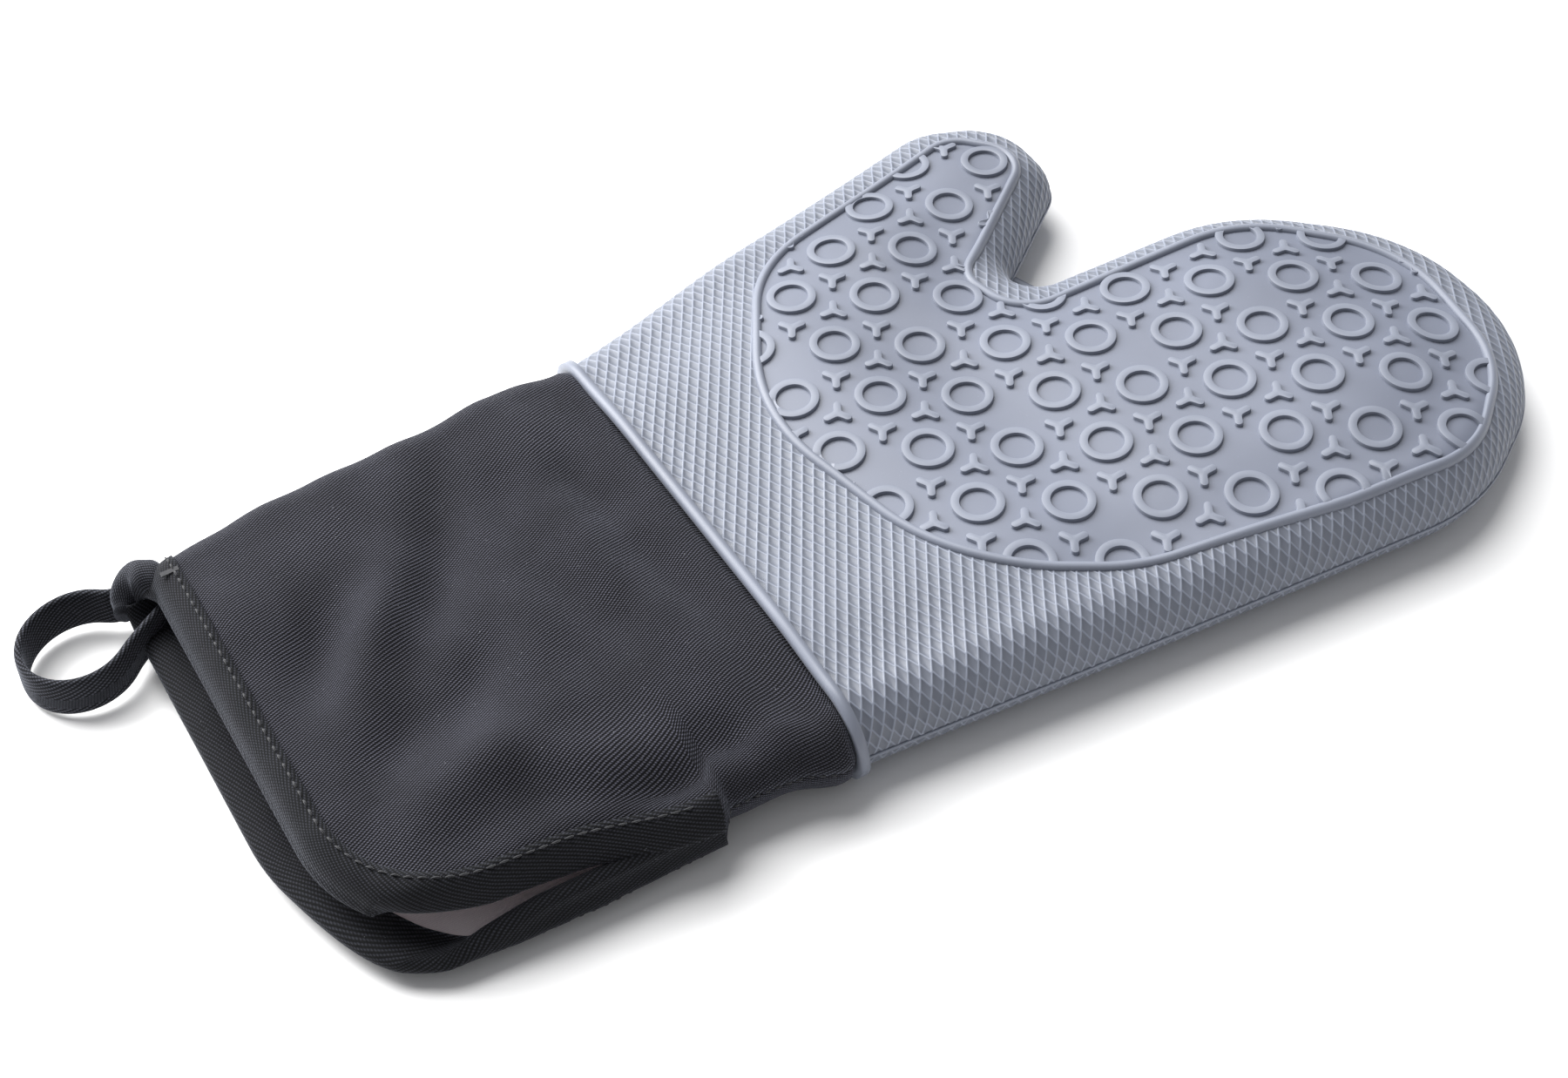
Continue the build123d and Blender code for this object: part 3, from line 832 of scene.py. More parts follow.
# soft folds of the padded cloth: (x, y, length along, width across, direction in degrees, height)
FOLDS = {
    PALM: [
        (-47, -10, 80, 4.5, 92, -1.0),
        (-58, -5, 75, 5.0, 94, 1.0),
        (-70, 10, 60, 7.0, 98, -0.9),
        (-83, -20, 50, 8.0, 80, 1.3),
        (-99, 12, 34, 8.0, 55, -2.0),
        (-84, 30, 30, 7.0, 62, -1.0),
        (-113, 6, 36, 8.0, 58, 1.8),
        (-130, 8, 30, 8.0, 62, -2.1),
        (-121, -29, 30, 8.0, 48, -1.6),
        (-102, -25, 28, 7.0, 40, -1.2),
        (-108, -46, 34, 8.0, 20, 1.4),
        (-75, -66, 20, 7.0, 15, -2.0),
        (-60, -70, 14, 5.0, 80, -1.4),
        (-141, 30, 26, 6.0, 85, 1.2),
        (-90, -52, 30, 7.0, 150, 1.1),
    ],
    BACK: [
        (-54, -5, 75, 5.0, 88, 0.5),
        (-85, 15, 50, 9.0, 65, 0.6),
        (-110, -20, 45, 9.0, 115, -0.8),
        (-130, 20, 35, 8.0, 70, -0.6),
    ],
}

PUFFS = {}  # side: grid places and simulated heights, filled before the cuff is built
PUFF_STEP = 5.0
PUFF_FRAMES = 20
PUFF_LIMIT = 1.2
PUFF_SHARE = 0.45  # of the simulated height that the quilted cloth keeps


def puffed(side):
    """Puckers of a padded panel held by its seams, from a cloth simulation, over (x, share)."""
    xs = np.arange(MOUTH_X[side], CUFF_FRONT_X, PUFF_STEP)
    shares = np.linspace(0, 1, 34)
    near, far = shoulders(xs)
    low, high = near - CUFF_REACH, far + CUFF_REACH
    v = low[:, None] + (high - low)[:, None] * shares[None, :]
    x = np.broadcast_to(xs[:, None], v.shape)
    start = folds(side, x, v) * 0.5
    points = np.stack([x, v, start], -1).reshape(-1, 3)
    panel = add_piece("puffing_panel", points, grid_quads(*v.shape).reshape(-1, 4), None)
    held = panel.vertex_groups.new(name="held")
    rim = np.ones(v.shape, bool)
    rim[1:-1, 1:-1] = False
    held.add(np.flatnonzero(rim).tolist(), 1.0, "REPLACE")
    cloth_modifier = panel.modifiers.new("cloth", "CLOTH")
    settings = cloth_modifier.settings
    settings.quality = 6
    settings.mass = 0.2
    settings.tension_stiffness = 20
    settings.compression_stiffness = 20
    settings.shear_stiffness = 8
    settings.bending_stiffness = 0.6
    settings.shrink_min = -0.035
    settings.shrink_max = -0.035
    settings.vertex_group_mass = "held"
    settings.effector_weights.gravity = 0
    settings.use_pressure = True
    settings.uniform_pressure_force = 4
    cloth_modifier.point_cache.frame_end = PUFF_FRAMES
    scene = bpy.context.scene
    for number in range(1, PUFF_FRAMES + 1):
        scene.frame_set(number)
    shape = panel.evaluated_get(bpy.context.evaluated_depsgraph_get()).data
    moved = np.zeros(len(points) * 3)
    shape.vertices.foreach_get("co", moved)
    raised = moved.reshape(-1, 3)[:, 2].reshape(v.shape) / MM
    scene.frame_set(1)
    bpy.data.objects.remove(panel)
    raised = blurred(raised - blurred(raised, 16), 1) * PUFF_SHARE
    outside = EDGE[side].locate(np.column_stack([x.ravel(), v.ravel()]))[0].reshape(v.shape)
    from_edge = smooth_step((-outside - 10) / 14)
    from_side = smooth_step(np.minimum(shares, 1 - shares) * 8)
    return xs, shares, np.clip(raised, -PUFF_LIMIT, PUFF_LIMIT) * from_edge * from_side


def folds(side, x, v):
    """Height of the folds at places in the flat cloth."""
    height = np.zeros(np.shape(x))
    for fold_x, fold_y, length, width, direction, size in FOLDS[side]:
        turn = math.radians(direction)
        along = (x - fold_x) * math.cos(turn) + (v - fold_y) * math.sin(turn)
        across = (v - fold_y) * math.cos(turn) - (x - fold_x) * math.sin(turn)
        bent = across + 2.5 * np.sin(along / 19 + fold_x)
        height = height + FOLD_STRENGTH * size * hump(bent, 0, width) * hump(along, 0, length * 0.6)
    if side in PUFFS:
        xs, shares, raised = PUFFS[side]
        near, far = shoulders(x)
        share = (v - near + CUFF_REACH) / (far - near + 2 * CUFF_REACH)
        height = height + read_field(raised, xs, shares, x, share)
    ripple = np.sin(x / 3.1 + 0.6 * np.sin(v / 9)) * np.sin(v / 5.3 + 0.5 * np.sin(x / 7))
    height = height + FINE_RIPPLE * ripple
    return height * rise(x, LIP_X - 4, LIP_X - 14)


def mouth_curl(side, x, v):
    """Moves (height, x, y) of the edge: the palm's rolls down and in, the back's curls up."""
    outside, _, normal = EDGE[side].locate(np.column_stack([x, v]))
    fade = rise(x, -60, -90)
    if side == BACK:
        return -BACK_CURL * rise(outside, -18, 0) * fade, 0, 0
    roll = np.clip(1 + outside / PALM_ROLL_WIDTH, 0, 1.1) ** 2 * fade
    tuck = -PALM_TUCK * roll * (1 - 0.85 * rise(x, -152, -138))
    return -PALM_ROLL * roll, tuck * normal[:, 0], tuck * normal[:, 1]


def on_cuff(side, flat, height=0.0):
    """Places on the cuff's outside. Flat places beyond a shoulder lie down the rounded side."""
    x, v = flat[:, 0], flat[:, 1]
    near, far = shoulders(x)
    over = np.where(v < near, near - v, np.where(v > far, v - far, 0))
    way = np.where(v < near, -1.0, 1.0)
    angle = np.interp(over / CUFF_REACH, CUFF_SHARE, CUFF_ANGLES)
    past = np.clip(over - CUFF_REACH, 0, None)
    y = np.where(over > 0, np.where(way < 0, near, far) + way * CUFF_SIDE_WIDTH * np.sin(angle), v)
    z = CUFF_MIDDLE_Z + side * (CUFF_HALF_HEIGHT * np.cos(angle) - past)
    direction = np.column_stack([
        np.zeros(len(x)),
        way * np.sin(angle) / CUFF_SIDE_WIDTH,
        side * np.cos(angle) / CUFF_HALF_HEIGHT,
    ])
    direction = unit(direction)
    out = height - RIM_SINK * rise(x, LIP_X - RIM_SINK_RUN, LIP_X)
    flatness = np.cos(angle)
    curl, curl_x, curl_y = mouth_curl(side, x, v)
    y = y + spread_out(side, x, v, angle) + curl_y * flatness
    out = out + folds(side, x, v) + (curl + pillow(side, x, v)) * flatness
    x = x + curl_x * flatness
    place = np.column_stack([x, y, z]) + direction * out[:, None]
    if side == BACK:
        resting = FLOOR_GAP + LAYER_REST * np.clip(1 - np.asarray(height), 0, 1)
        place[:, 2] = np.maximum(place[:, 2], resting)
    return place


def edge_path(side):
    """The bound edge in the flat cloth, from the far seam along the mouth to the end of the slit."""
    mouth = MOUTH_X[side]
    near_mouth = shoulders(mouth)[0] - SLIT_REACH[side]
    near_slit = shoulders(SLIT_END_X)[0] - CUFF_REACH
    far_mouth = shoulders(mouth)[1] + CUFF_REACH
    return rounded_path(
        [(mouth, near_mouth, CUFF_CORNER[side])],
        ((mouth, far_mouth), (SLIT_END_X, near_slit)),
        step=1.0,
    )


EDGE = {side: Contour(edge_path(side), closed=False) for side in (PALM, BACK)}


def cuff_grid(side, step, inset):
    """Flat grid of one cuff panel: points and quads, ending inset inside the bound edge."""
    x = np.arange(CUFF_FRONT_X, MOUTH_X[side] - step, -step)
    share = np.linspace(0, 1, round(CUFF_PANEL_GIRTH / step))
    near, far = shoulders(x)
    low, high = near - CUFF_REACH, far + CUFF_REACH
    v = high[:, None] + (low - high)[:, None] * share[None, :]
    flat = np.stack([np.broadcast_to(x[:, None], v.shape), v], -1)
    outside, foot, normal = EDGE[side].locate(flat.reshape(-1, 2))
    beside_edge = flat[..., 0].ravel() < SLIT_END_X + 2
    inside = ((outside < -inset) | ~beside_edge).reshape(v.shape)
    snapped = (foot - normal * inset).reshape(flat.shape)
    points, quads, _ = trimmed_grid(flat, inside, snapped)
    return points, quads


def cuff_layer(name, side, depth, material, thickness, step=1.6, inset=0.4):
    """One layer of a cuff panel, depth below the cloth's outside."""
    points, quads = cuff_grid(side, step, inset)
    place = on_cuff(side, points, -depth)
    piece = add_piece(name, place, facing(quads, side), material, points)
    return thickened(piece, thickness)


def binding_section():
    """Closed section (depth from the edge, height) of the tape folded over a panel's edge."""
    outer, inner = [], []
    middle = -CUFF_WALL / 2
    swell = CUFF_WALL / 2 + TAPE
    for depth in np.linspace(BINDING_WIDTH, 0.6, 8):
        lift = 0.25 * math.sin(math.pi * min(1, (BINDING_WIDTH - depth) / BINDING_WIDTH * 1.1))
        outer.append((depth, TAPE + lift))
        inner.append((depth, TAPE + lift - TAPE_WALL))
    for angle in np.radians(np.linspace(90, -90, 9)[1:-1]):
        for line, thinner in ((outer, 0), (inner, TAPE_WALL)):
            line.append((0.3 - (BINDING_FOLD - thinner) * math.cos(angle),
                         middle + (swell - thinner) * math.sin(angle)))
    for depth in np.linspace(0.6, BINDING_INSIDE, 5):
        outer.append((depth, -CUFF_WALL - TAPE))
        inner.append((depth, -CUFF_WALL - TAPE + TAPE_WALL))
    return outer + inner[::-1]


def binding(side, material):
    """Tape folded over the edge of a panel, as a closed strip of its own thickness."""
    path = EDGE[side].line
    inward = -EDGE[side].normal
    along = distance_along(path)
    ring = binding_section()
    across = distance_along(np.array(ring))
    pucker = 0.10 * np.sin(along / 1.9 + np.sin(along / 7)) + 0.08 * np.sin(along / 4.3)
    sections, weave = [], []
    for (depth, height), place in zip(ring, across):
        flat = path + inward * depth
        ruffle = pucker * math.exp(-((depth - STITCH_INSET) / 3) ** 2)
        sections.append(on_cuff(side, flat, height + ruffle))
        weave.append(np.column_stack([along, np.full(len(along), place)]))
    points, faces = tube(np.stack(sections, axis=1), closed=False)
    if side == PALM:
        faces = [face[::-1] for face in faces]
    weave = np.stack(weave, axis=1).reshape(-1, 2)
    return add_piece("edge_tape_" + SIDE_NAMES[side], points, faces, material, weave)


def stitch(start, finish, up, radius):
    """One thread stitch: a slim bead that dives into the cloth at both ends."""
    run = finish - start
    length = np.linalg.norm(run)
    run = run / length
    across = np.cross(up, run)
    across /= np.linalg.norm(across)
    sections = []
    for share in (0, 0.12, 0.3, 0.5, 0.7, 0.88, 1):
        bow = math.sin(math.pi * share)
        middle = start + run * length * share + up * radius * (1.5 * bow - 0.7)
        width = radius * (0.45 + 0.55 * bow)
        ring = [middle + width * (across * math.cos(a) + up * math.sin(a))
                for a in np.arange(6) * math.pi / 3]
        sections.append(ring)
    return tube(np.array(sections), closed=False)


def stitch_row(name, places, ups, material, pitch=3.0, share=0.7, radius=0.25):
    """A row of stitches along places on the cloth."""
    along = distance_along(places)
    made = []
    for begin in np.arange(0.5, along[-1] - pitch, pitch):
        ends = []
        for at in (begin, begin + pitch * share):
            ends.append(np.array([np.interp(at, along, column) for column in places.T]))
        up = np.array([np.interp(begin, along, column) for column in ups.T])
        made.append(stitch(ends[0], ends[1], up / np.linalg.norm(up), radius))
    points, faces = joined(made)
    return add_piece(name, points, faces, material)


def edge_stitches(side, material):
    """Top stitching that holds the binding down."""
    flat = (EDGE[side].line - EDGE[side].normal * STITCH_INSET)[STITCHED]
    low = on_cuff(side, flat, STITCH_LEVEL[side])
    high = on_cuff(side, flat, STITCH_LEVEL[side] + 1)
    return stitch_row("edge_stitches_" + SIDE_NAMES[side], low, high - low, material)


def seam(name, way, x_from, x_to, material):
    """The closing seam along one side of the cuff: a row of stitches in a fine groove."""
    x = np.arange(x_from, x_to, 1.0)
    near, far = shoulders(x)
    v = near - CUFF_REACH if way < 0 else far + CUFF_REACH
    flat = np.column_stack([x, v])
    low = on_cuff(PALM, flat, SEAM_LEVEL)
    high = on_cuff(PALM, flat, SEAM_LEVEL + 1)
    return stitch_row(name, low, high - low, material, pitch=2.6, radius=0.28)


# =====================================================================================
# hanging loop
# =====================================================================================
def loop_line():
    """Plan of the loop: two straight strands that leave the corner, and a round end."""
    reach = toward(math.radians(LOOP_TURN))
    side_way = np.array([-reach[1], reach[0]])
    axis = np.array(LOOP_AXIS)
    centre = axis + reach * LOOP_REACH
    angles = np.radians(np.linspace(*LOOP_ARC, 66))
    arc = [centre + LOOP_RADIUS * (reach * math.cos(a) + side_way * math.sin(a)) for a in angles]
    start, finish = [axis + side_way * end - reach * LOOP_SEWN for end in LOOP_ENDS]
    return softened(evenly(np.array([start] + arc + [finish]), 1.0), 3)


def boxed(value, power):
    """A sine or cosine pushed to its ends, for a section between an ellipse and a box."""
    return math.copysign(abs(value) ** power, value)


def hanging_loop(material):
    """The folded tape of the loop, standing on its edge."""
    line = loop_line()
    tangent = unit(np.gradient(line, axis=0))
    outward = np.column_stack([tangent[:, 1], -tangent[:, 0]])
    along = distance_along(line)
    share = along / along[-1]
    lean = LOOP_LEAN * np.sin(share * 2 * math.pi + 0.6)
    bottom = LOOP_BOTTOM + LOOP_LIFT * np.abs(np.cos(share * math.pi)) ** 3
    half_thick, half_wide = LOOP_TAPE / 2, LOOP_WIDTH / 2
    ring = np.array([
        (half_thick * boxed(math.cos(turn), 0.6), half_wide * boxed(math.sin(turn), 0.45))
        for turn in np.arange(24) / 24 * 2 * math.pi
    ])
    sections, weave = [], []
    for (thick, wide), place in zip(ring, distance_along(ring)):
        plan = line + outward * (thick + lean * wide)[:, None]
        sections.append(np.column_stack([plan, bottom + half_wide + wide]))
        weave.append(np.column_stack([along, np.full(len(along), place)]))
    points, faces = tube(np.stack(sections, axis=1), closed=False)
    weave = np.stack(weave, axis=1).reshape(-1, 2)
    return add_piece("loop_tape", points, faces, material, weave)


def corner_fold(material):
    """The end of the palm binding, rolled round the sewn ends of the loop."""
    line = softened(evenly(np.array(CORNER_FOLD), 0.8), 12)
    tangent = np.gradient(line, axis=0)
    sideways = unit(np.column_stack([tangent[:, 1], -tangent[:, 0], np.zeros(len(line))]))
    share = np.linspace(0, 1, len(line))
    fullness = np.clip(np.sin(math.pi * share.clip(0.06, 0.94)), 0.1, 1)[:, None] ** 0.45
    half_wide, half_tall = CORNER_FOLD_SIZE
    sections, weave = [], []
    for turn in np.arange(28) / 28 * 2 * math.pi:
        crease = 1 - 0.16 * hump(turn, 4.0, 0.35) + 0.03 * np.sin(share * 21 + 3 * turn)[:, None]
        place = line + sideways * half_wide * math.cos(turn) * fullness * crease
        place[:, 2] += (half_tall * boxed(math.sin(turn), 0.8) * fullness * crease)[:, 0]
        sections.append(place)
        girth = np.full(len(line), turn * (half_wide + half_tall) / 2)
        weave.append(np.column_stack([share * CORNER_FOLD_LENGTH, girth]))
    points, faces = tube(np.stack(sections, axis=1), closed=False)
    weave = np.stack(weave, axis=1).reshape(-1, 2)
    return add_piece("edge_tape_corner", points, faces, material, weave)


# =====================================================================================
# materials
# =====================================================================================
class Nodes:
    """A material's node tree, with short ways to add and join its nodes."""

    def __init__(self, name, roughness, specular=0.5):
        self.material = bpy.data.materials.new(name)
        self.material.use_nodes = True
        self.tree = self.material.node_tree
        self.shader = self.tree.nodes["Principled BSDF"]
        self.shader.inputs["Roughness"].default_value = roughness
        self.shader.inputs["Specular IOR Level"].default_value = specular

    def add(self, kind, **inputs):
        """A node with some inputs set. An underscore stands for the space in an input's name."""
        node = self.tree.nodes.new(kind)
        for name, value in inputs.items():
            self.put(node.inputs[name.replace("_", " ")], value)
        return node

    def put(self, socket, value):
        """Link another node's output to a socket, or set the socket's value."""
        if isinstance(value, bpy.types.NodeSocket):
            self.tree.links.new(value, socket)
        else:
            socket.default_value = value

    def math(self, operation, *values):
        node = self.tree.nodes.new("ShaderNodeMath")
        node.operation = operation
        for socket, value in zip(node.inputs, values):
            self.put(socket, value)
        return node.outputs[0]

    def noise(self, place, scale, detail=2.0, roughness=0.5):
        node = self.add("ShaderNodeTexNoise", Vector=place, Scale=scale,
                        Detail=detail, Roughness=roughness)
        return node.outputs["Fac"]

    def object_place(self):
        return self.add("ShaderNodeTexCoord").outputs["Object"]

    def weave(self):
        """The mesh's place in its own flat cloth."""
        node = self.tree.nodes.new("ShaderNodeAttribute")
        node.attribute_name = "weave"
        return node.outputs["Vector"]

    def mix(self, share, first, second):
        node = self.tree.nodes.new("ShaderNodeMix")
        node.data_type = "RGBA"
        self.put(node.inputs["Factor"], share)
        self.put(node.inputs["A"], first)
        self.put(node.inputs["B"], second)
        return node.outputs["Result"]

    def spread(self, value, low, high, new_low=0.0, new_high=1.0):
        node = self.tree.nodes.new("ShaderNodeMapRange")
        for socket, number in zip(node.inputs, (value, low, high, new_low, new_high)):
            self.put(socket, number)
        return node.outputs[0]

    def bump(self, height, strength, distance):
        node = self.add("ShaderNodeBump", Height=height, Strength=strength, Distance=distance)
        self.put(self.shader.inputs["Normal"], node.outputs[0])


def linear(red, green, blue):
    """A colour given in screen values from 0 to 255, as linear light."""
    values = []
    for level in (red, green, blue):
        level = level / 255
        values.append(level / 12.92 if level < 0.04045 else ((level + 0.055) / 1.055) ** 2.4)
    return (*values, 1.0)


def silicone(name, colour, roughness, painted_ridge_light=False):
    """Satin moulded silicone with faint cloudiness and dust. On the ridged skin the crests are
    painted lighter, a painted highlight, and the grooves darker, painted shade.
    """
    nodes = Nodes(name, roughness, specular=0.42)
    place = nodes.object_place()
    cloud = nodes.noise(place, 28, detail=3)
    grain = nodes.noise(place, 2600, detail=2, roughness=0.7)
    darker = linear(*[level * 0.965 for level in colour])
    lighter = linear(*[min(255, level * 1.03) for level in colour])
    shade = nodes.mix(nodes.spread(cloud, 0.35, 0.65), darker, lighter)
    dust = nodes.spread(nodes.noise(place, 900, detail=4, roughness=0.75), 0.66, 0.78, 0, 0.16)
    shade = nodes.mix(dust, shade, linear(205, 210, 220))
    if painted_ridge_light:
        relief = nodes.add("ShaderNodeSeparateXYZ", Vector=nodes.weave()).outputs[2]
        # painted shade in the grooves and a painted highlight on the crests, set by the ridge height
        groove = nodes.mix(0.5, shade, linear(*[level * 0.84 for level in colour]))
        painted_crest_highlight = nodes.mix(0.6, shade, linear(*[min(255, level * 1.3) for level in colour]))
        shade = nodes.mix(nodes.spread(relief, 0.05, 0.95), groove, painted_crest_highlight)
    nodes.put(nodes.shader.inputs["Base Color"], shade)
    rough = nodes.spread(cloud, 0.3, 0.7, roughness - 0.05, roughness + 0.06)
    nodes.put(nodes.shader.inputs["Roughness"], rough)
    nodes.shader.inputs["Sheen Weight"].default_value = 0.06
    nodes.shader.inputs["Sheen Roughness"].default_value = 0.5
    nodes.bump(grain, 0.12, 0.00006)
    return nodes.material


def cloth(name, dark, light, pitch, direction, bump=0.5, sheen=0.25, lint=0.5):
    """Woven cloth with diagonal twill lines, in the flat coordinates of the cut cloth."""
    nodes = Nodes(name, 0.88, specular=0.2)
    flat = nodes.weave()
    split = nodes.add("ShaderNodeSeparateXYZ", Vector=flat)
    x, y = split.outputs[0], split.outputs[1]
    wobble = nodes.noise(flat, 260, detail=2)
    turn = math.radians(direction)
    across = nodes.math("SUBTRACT", nodes.math("MULTIPLY", y, math.cos(turn)),
                        nodes.math("MULTIPLY", x, math.sin(turn)))
    along = nodes.math("ADD", nodes.math("MULTIPLY", x, math.cos(turn)),
                       nodes.math("MULTIPLY", y, math.sin(turn)))
    phase = nodes.math("ADD", nodes.math("MULTIPLY", across, 2 * math.pi / (pitch * MM)),
                       nodes.math("MULTIPLY", wobble, 2.2))
    line = nodes.spread(nodes.math("SINE", phase), -1, 1)
    yarn_turns = nodes.math("MULTIPLY", along, 2 * math.pi / (pitch * 0.8 * MM))
    yarn_phase = nodes.math("ADD", yarn_turns, nodes.math("MULTIPLY", phase, 0.5))
    yarn = nodes.spread(nodes.math("SINE", yarn_phase), -1, 1)
    fuzz = nodes.noise(flat, 2400, detail=3, roughness=0.7)
    height = nodes.math("MULTIPLY", line, nodes.spread(yarn, 0, 1, 0.35, 1.0))
    height = nodes.math("ADD", height, nodes.math("MULTIPLY", fuzz, 0.9))
    worn = nodes.spread(nodes.noise(flat, 45, detail=4, roughness=0.6), 0.3, 0.75, 0.6, 1.1)
    share = nodes.math("MULTIPLY", nodes.spread(height, 0.6, 1.35), worn)
    shade = nodes.mix(share, linear(*dark), linear(*light))
    specks = nodes.add("ShaderNodeTexVoronoi", Vector=flat, Scale=640)
    spot = nodes.spread(specks.outputs["Distance"], 0.04, 0.11, lint, 0.0)
    rare = nodes.spread(nodes.noise(flat, 700, detail=1), 0.57, 0.64)
    shade = nodes.mix(nodes.math("MULTIPLY", spot, rare), shade, linear(150, 152, 158))
    nodes.put(nodes.shader.inputs["Base Color"], shade)
    nodes.shader.inputs["Sheen Weight"].default_value = sheen
    nodes.shader.inputs["Sheen Roughness"].default_value = 0.3
    nodes.shader.inputs["Sheen Tint"].default_value = (0.62, 0.66, 0.78, 1)
    nodes.bump(height, bump, 0.0003)
    return nodes.material


def thread(name, colour):
    """Twisted sewing thread."""
    nodes = Nodes(name, 0.7, specular=0.3)
    place = nodes.object_place()
    twist = nodes.noise(place, 1800, detail=2)
    shade = nodes.mix(twist, linear(*[level * 0.7 for level in colour]), linear(*colour))
    nodes.put(nodes.shader.inputs["Base Color"], shade)
    nodes.shader.inputs["Sheen Weight"].default_value = 0.3
    nodes.bump(twist, 0.5, 0.0002)
    return nodes.material


def batting(name):
    """Loose white wadding."""
    nodes = Nodes(name, 0.95, specular=0.1)
    place = nodes.object_place()
    fluff = nodes.noise(place, 420, detail=6, roughness=0.7)
    shade = nodes.mix(fluff, linear(176, 176, 172), linear(226, 226, 222))
    nodes.put(nodes.shader.inputs["Base Color"], shade)
    nodes.bump(fluff, 0.8, 0.001)
    return nodes.material


def studio_floor():
    """Plain pale floor."""
    nodes = Nodes("floor_white", 0.9, specular=0.1)
    place = nodes.object_place()
    tone = nodes.noise(place, 3, detail=2)
    shade = nodes.mix(tone, (0.895, 0.893, 0.892, 1), (0.905, 0.905, 0.905, 1))
    nodes.put(nodes.shader.inputs["Base Color"], shade)
    return nodes.material


# =====================================================================================
# camera, floor and light
# =====================================================================================
CAMERA_PLACE = Vector((-0.1914, -0.3580, 0.4316))
CAMERA_RIGHT = Vector((0.8583, -0.5100, -0.0564))
CAMERA_UP = Vector((0.4087, 0.6132, 0.6760))
CAMERA_LENS = 53.0
BACK_LIGHT_PLACE = (-0.45, 0.75, 0.50)
BACK_LIGHT_AIM = Vector((-0.08, 0.0, 0.0))
FLOOR_SIZE = 30.0  # metres from the middle to each edge
FLOOR_BELOW = 0.0002  # metres under the mitt


def make_camera():
    data = bpy.data.cameras.new("camera")
    data.sensor_width = 36.0
    data.lens = CAMERA_LENS
    camera = bpy.data.objects.new("camera", data)
    bpy.context.scene.collection.objects.link(camera)
    right = CAMERA_RIGHT.normalized()
    behind = right.cross(CAMERA_UP).normalized()
    turn = Matrix((right, behind.cross(right), behind)).transposed()
    camera.matrix_world = Matrix.Translation(CAMERA_PLACE) @ turn.to_4x4()
    bpy.context.scene.camera = camera


def add_sun(name, way, strength, angle, colour):
    data = bpy.data.lights.new(name, "SUN")
    data.energy = strength
    data.angle = math.radians(angle)
    data.color = colour
    lamp = bpy.data.objects.new(name, data)
    lamp.rotation_euler = Vector(way).to_track_quat("-Z", "Y").to_euler()
    bpy.context.scene.collection.objects.link(lamp)


def add_back_light():
    data = bpy.data.lights.new("back_light", "AREA")
    data.shape = "DISK"
    data.size = 0.7
    data.energy = 15
    lamp = bpy.data.objects.new("back_light", data)
    lamp.location = BACK_LIGHT_PLACE
    aim = BACK_LIGHT_AIM - lamp.location
    lamp.rotation_euler = aim.to_track_quat("-Z", "Y").to_euler()
    bpy.context.scene.collection.objects.link(lamp)


def make_stage():
    """Pale floor, a soft sun from the near side and a soft light behind the mitt."""
    scene = bpy.context.scene
    scene.view_settings.view_transform = "Standard"
    world = bpy.data.worlds.new("studio")
    world.use_nodes = True
    background = world.node_tree.nodes["Background"]
    background.inputs["Color"].default_value = (0.96, 0.97, 1.0, 1)
    background.inputs["Strength"].default_value = 0.36
    scene.world = world
    add_sun("key_light", (0.0, -0.72, -1.0), 4.0, 50, (1.0, 0.998, 0.992))
    add_back_light()
    corners = [(-1, -1, 0), (1, -1, 0), (1, 1, 0), (-1, 1, 0)]
    points = np.array(corners) * FLOOR_SIZE / MM
    floor = add_piece("studio_floor", points, [[0, 1, 2, 3]], studio_floor())
    floor.location.z = -FLOOR_BELOW


# =====================================================================================
# assembly
# =====================================================================================
def make_materials():
    """Every material of the mitt, by the name that the builders use."""
    return {
        # the skin's ridges carry a painted highlight and its grooves painted shade
        "skin": silicone("silicone_grey", (113, 118, 130), 0.46, painted_ridge_light=True),
        "panel": silicone("silicone_grey_panel", (110, 115, 129), 0.42),
        "stud": silicone("silicone_grey_raised", (122, 127, 140), 0.44),
        "twill": cloth("black_twill", (3, 3, 5), (86, 86, 98), 0.78, 23,
                       bump=0.9, sheen=0.3, lint=0.5),
        "tape": cloth("black_tape", (7, 8, 10), (50, 51, 58), 0.95, 24,
                      sheen=0.2, lint=0.3),
        # the black tape again, painted lighter for the loop and the rolled corner: painted light on
        # the far corner
        "loop_tape": cloth("black_tape_painted_lighter", (14, 15, 19), (84, 86, 95), 0.95, 24,
                           sheen=0.3, lint=0.3),
        # pink-grey lining cloth, painted lighter than its own colour to make up for the shade inside
        # the gape
        "lining": cloth("lining_painted_lighter", (236, 225, 228), (251, 244, 246), 0.42, 2,
                        bump=0.3, lint=0.1),
        "thread": thread("black_thread", (40, 41, 46)),
        "batting": batting("wadding"),
    }


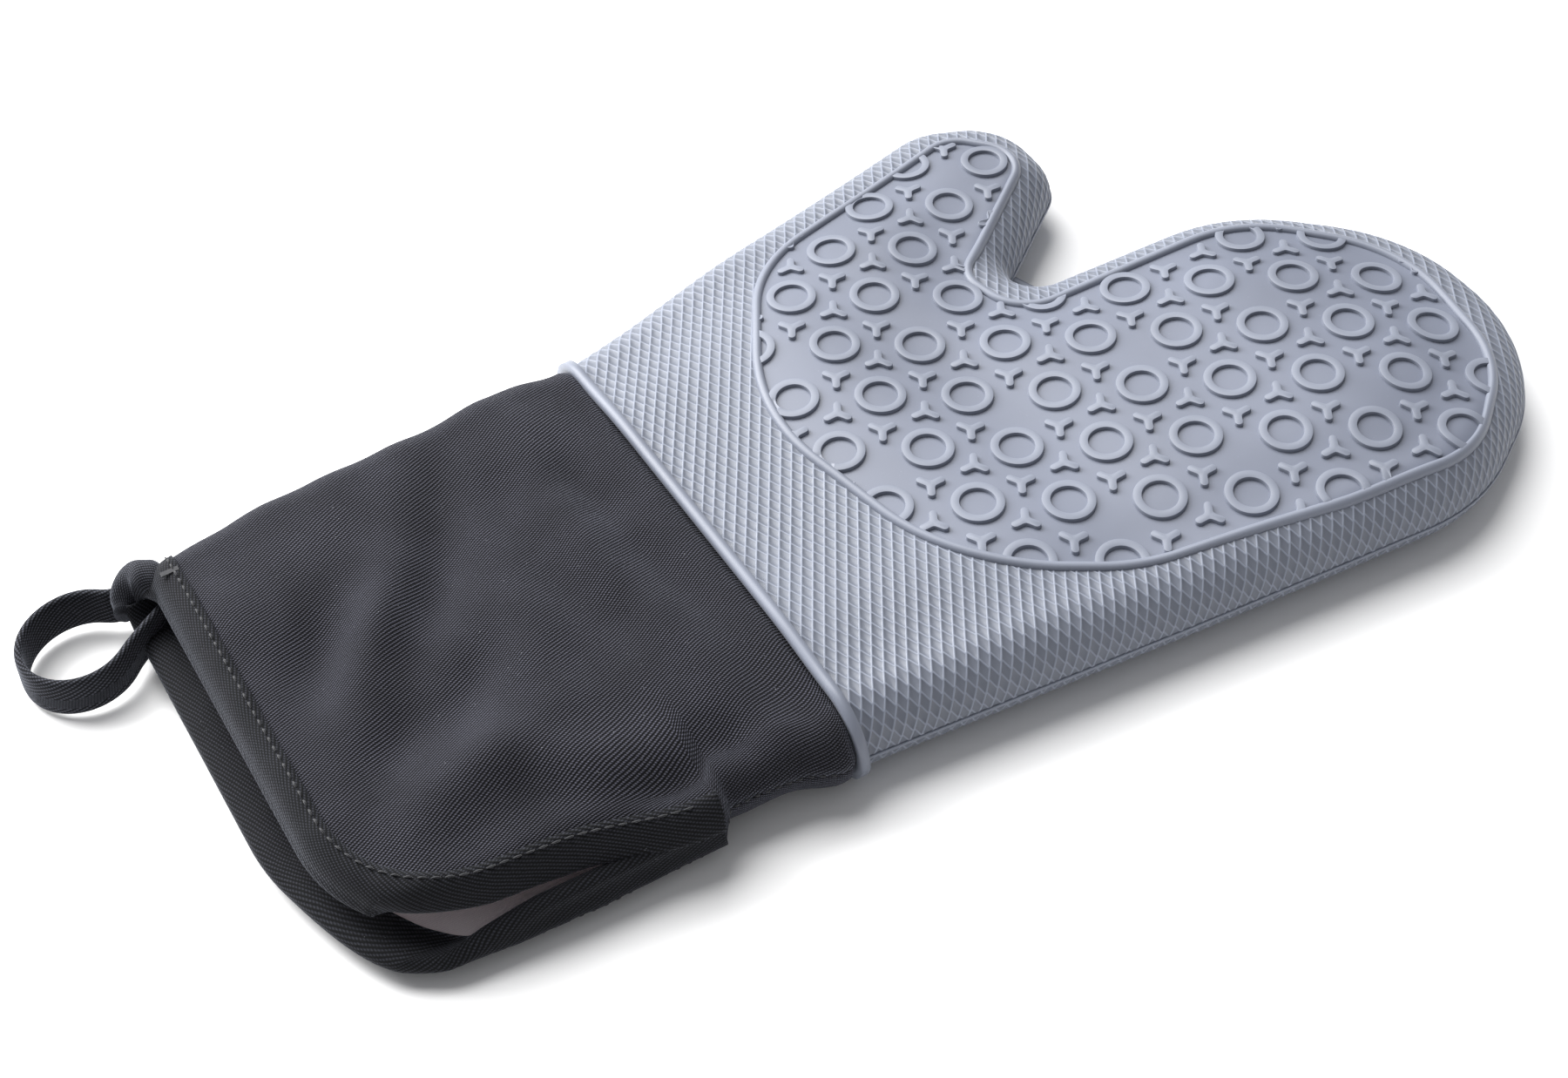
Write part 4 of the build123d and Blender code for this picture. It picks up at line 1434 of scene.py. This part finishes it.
def build_hand(stuff):
    """Pieces of the hand body."""
    pieces = []
    for side in (PALM, BACK):
        pieces.append(textured_skin(side, stuff["skin"]))
        pieces.append(smooth_panel(side, stuff["panel"]))
        pieces.append(studs(side, stuff["stud"]))
        pieces.append(bead(side, stuff["stud"]))
    pieces.append(wrist_rim(stuff["stud"]))
    pieces.append(parting_ridge(stuff["stud"]))
    for piece in pieces:
        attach(piece, "hand")
        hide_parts("silicone_shell")
    for side in (PALM, BACK):
        word = SIDE_NAMES[side]
        pad = hand_layer("hand_wadding_" + word, side, 2.2, stuff["batting"], 2.2)
        cloth_layer = hand_layer("hand_lining_cloth_" + word, side, 4.7, stuff["lining"], 0.5)
        for piece, node, slot in ((pad, "hand_padding_", "padding"),
                                  (cloth_layer, "hand_lining_", "lining")):
            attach(piece, "hand")
            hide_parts(node + word)


def blend_cuff(piece):
    """Bakes the piece's placement into its mesh."""
    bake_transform(piece)


def build_cuff(stuff):
    """Pieces of the cuff body."""
    for side in (PALM, BACK):
        word = SIDE_NAMES[side]
        twill = cuff_layer("cuff_twill_" + word, side, 0.0, stuff["twill"], TWILL_WALL)
        pad = cuff_layer("cuff_wadding_" + word, side, TWILL_WALL + 0.05, stuff["batting"],
                         PADDING_WALL - 0.1, step=3.0, inset=3.5)
        inner = cuff_layer("cuff_lining_cloth_" + word, side, TWILL_WALL + PADDING_WALL,
                           stuff["lining"], LINING_WALL, inset=3.0)
        for piece, node, slot in ((twill, "cuff_outer_", "twill"), (pad, "cuff_padding_", "padding"),
                                  (inner, "cuff_lining_", "lining")):
            blend_cuff(piece)
            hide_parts(node + word)
        tape = binding(side, stuff["tape"])
        rows = edge_stitches(side, stuff["thread"])
        for piece, node, slot in ((tape, "edge_binding_", "tape"),
                                  (rows, "binding_stitch_", "thread")):
            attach(piece, "cuff")
            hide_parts(node + word)
    near = seam("side_seam_stitches_near", -1, SLIT_END_X + 1, LIP_X - 2, stuff["thread"])
    far = seam("side_seam_stitches_far", 1, CUFF_END_X + BINDING_WIDTH, LIP_X - 2, stuff["thread"])
    for piece, node in ((near, "side_seam_near"), (far, "side_seam_far")):
        blend_cuff(piece)
        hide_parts(node)


def build_loop(stuff):
    """Pieces of the loop body, and the CAD nodes of the corner that it is sewn into."""
    # the loop and the rolled corner use the tape painted lighter, as painted light on the far corner
    loop = hanging_loop(stuff["loop_tape"])
    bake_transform(loop)
    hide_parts("hanging_loop")
    fold = corner_fold(stuff["loop_tape"])
    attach(fold, "cuff")
    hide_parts("loop_ends")
    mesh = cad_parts["loop_bartack"].data
    mesh.materials.clear()
    mesh.materials.append(stuff["thread"])


for side in (PALM, BACK):
    PUFFS[side] = puffed(side)
make_camera()
make_stage()
materials = make_materials()
build_hand(materials)
build_cuff(materials)
build_loop(materials)
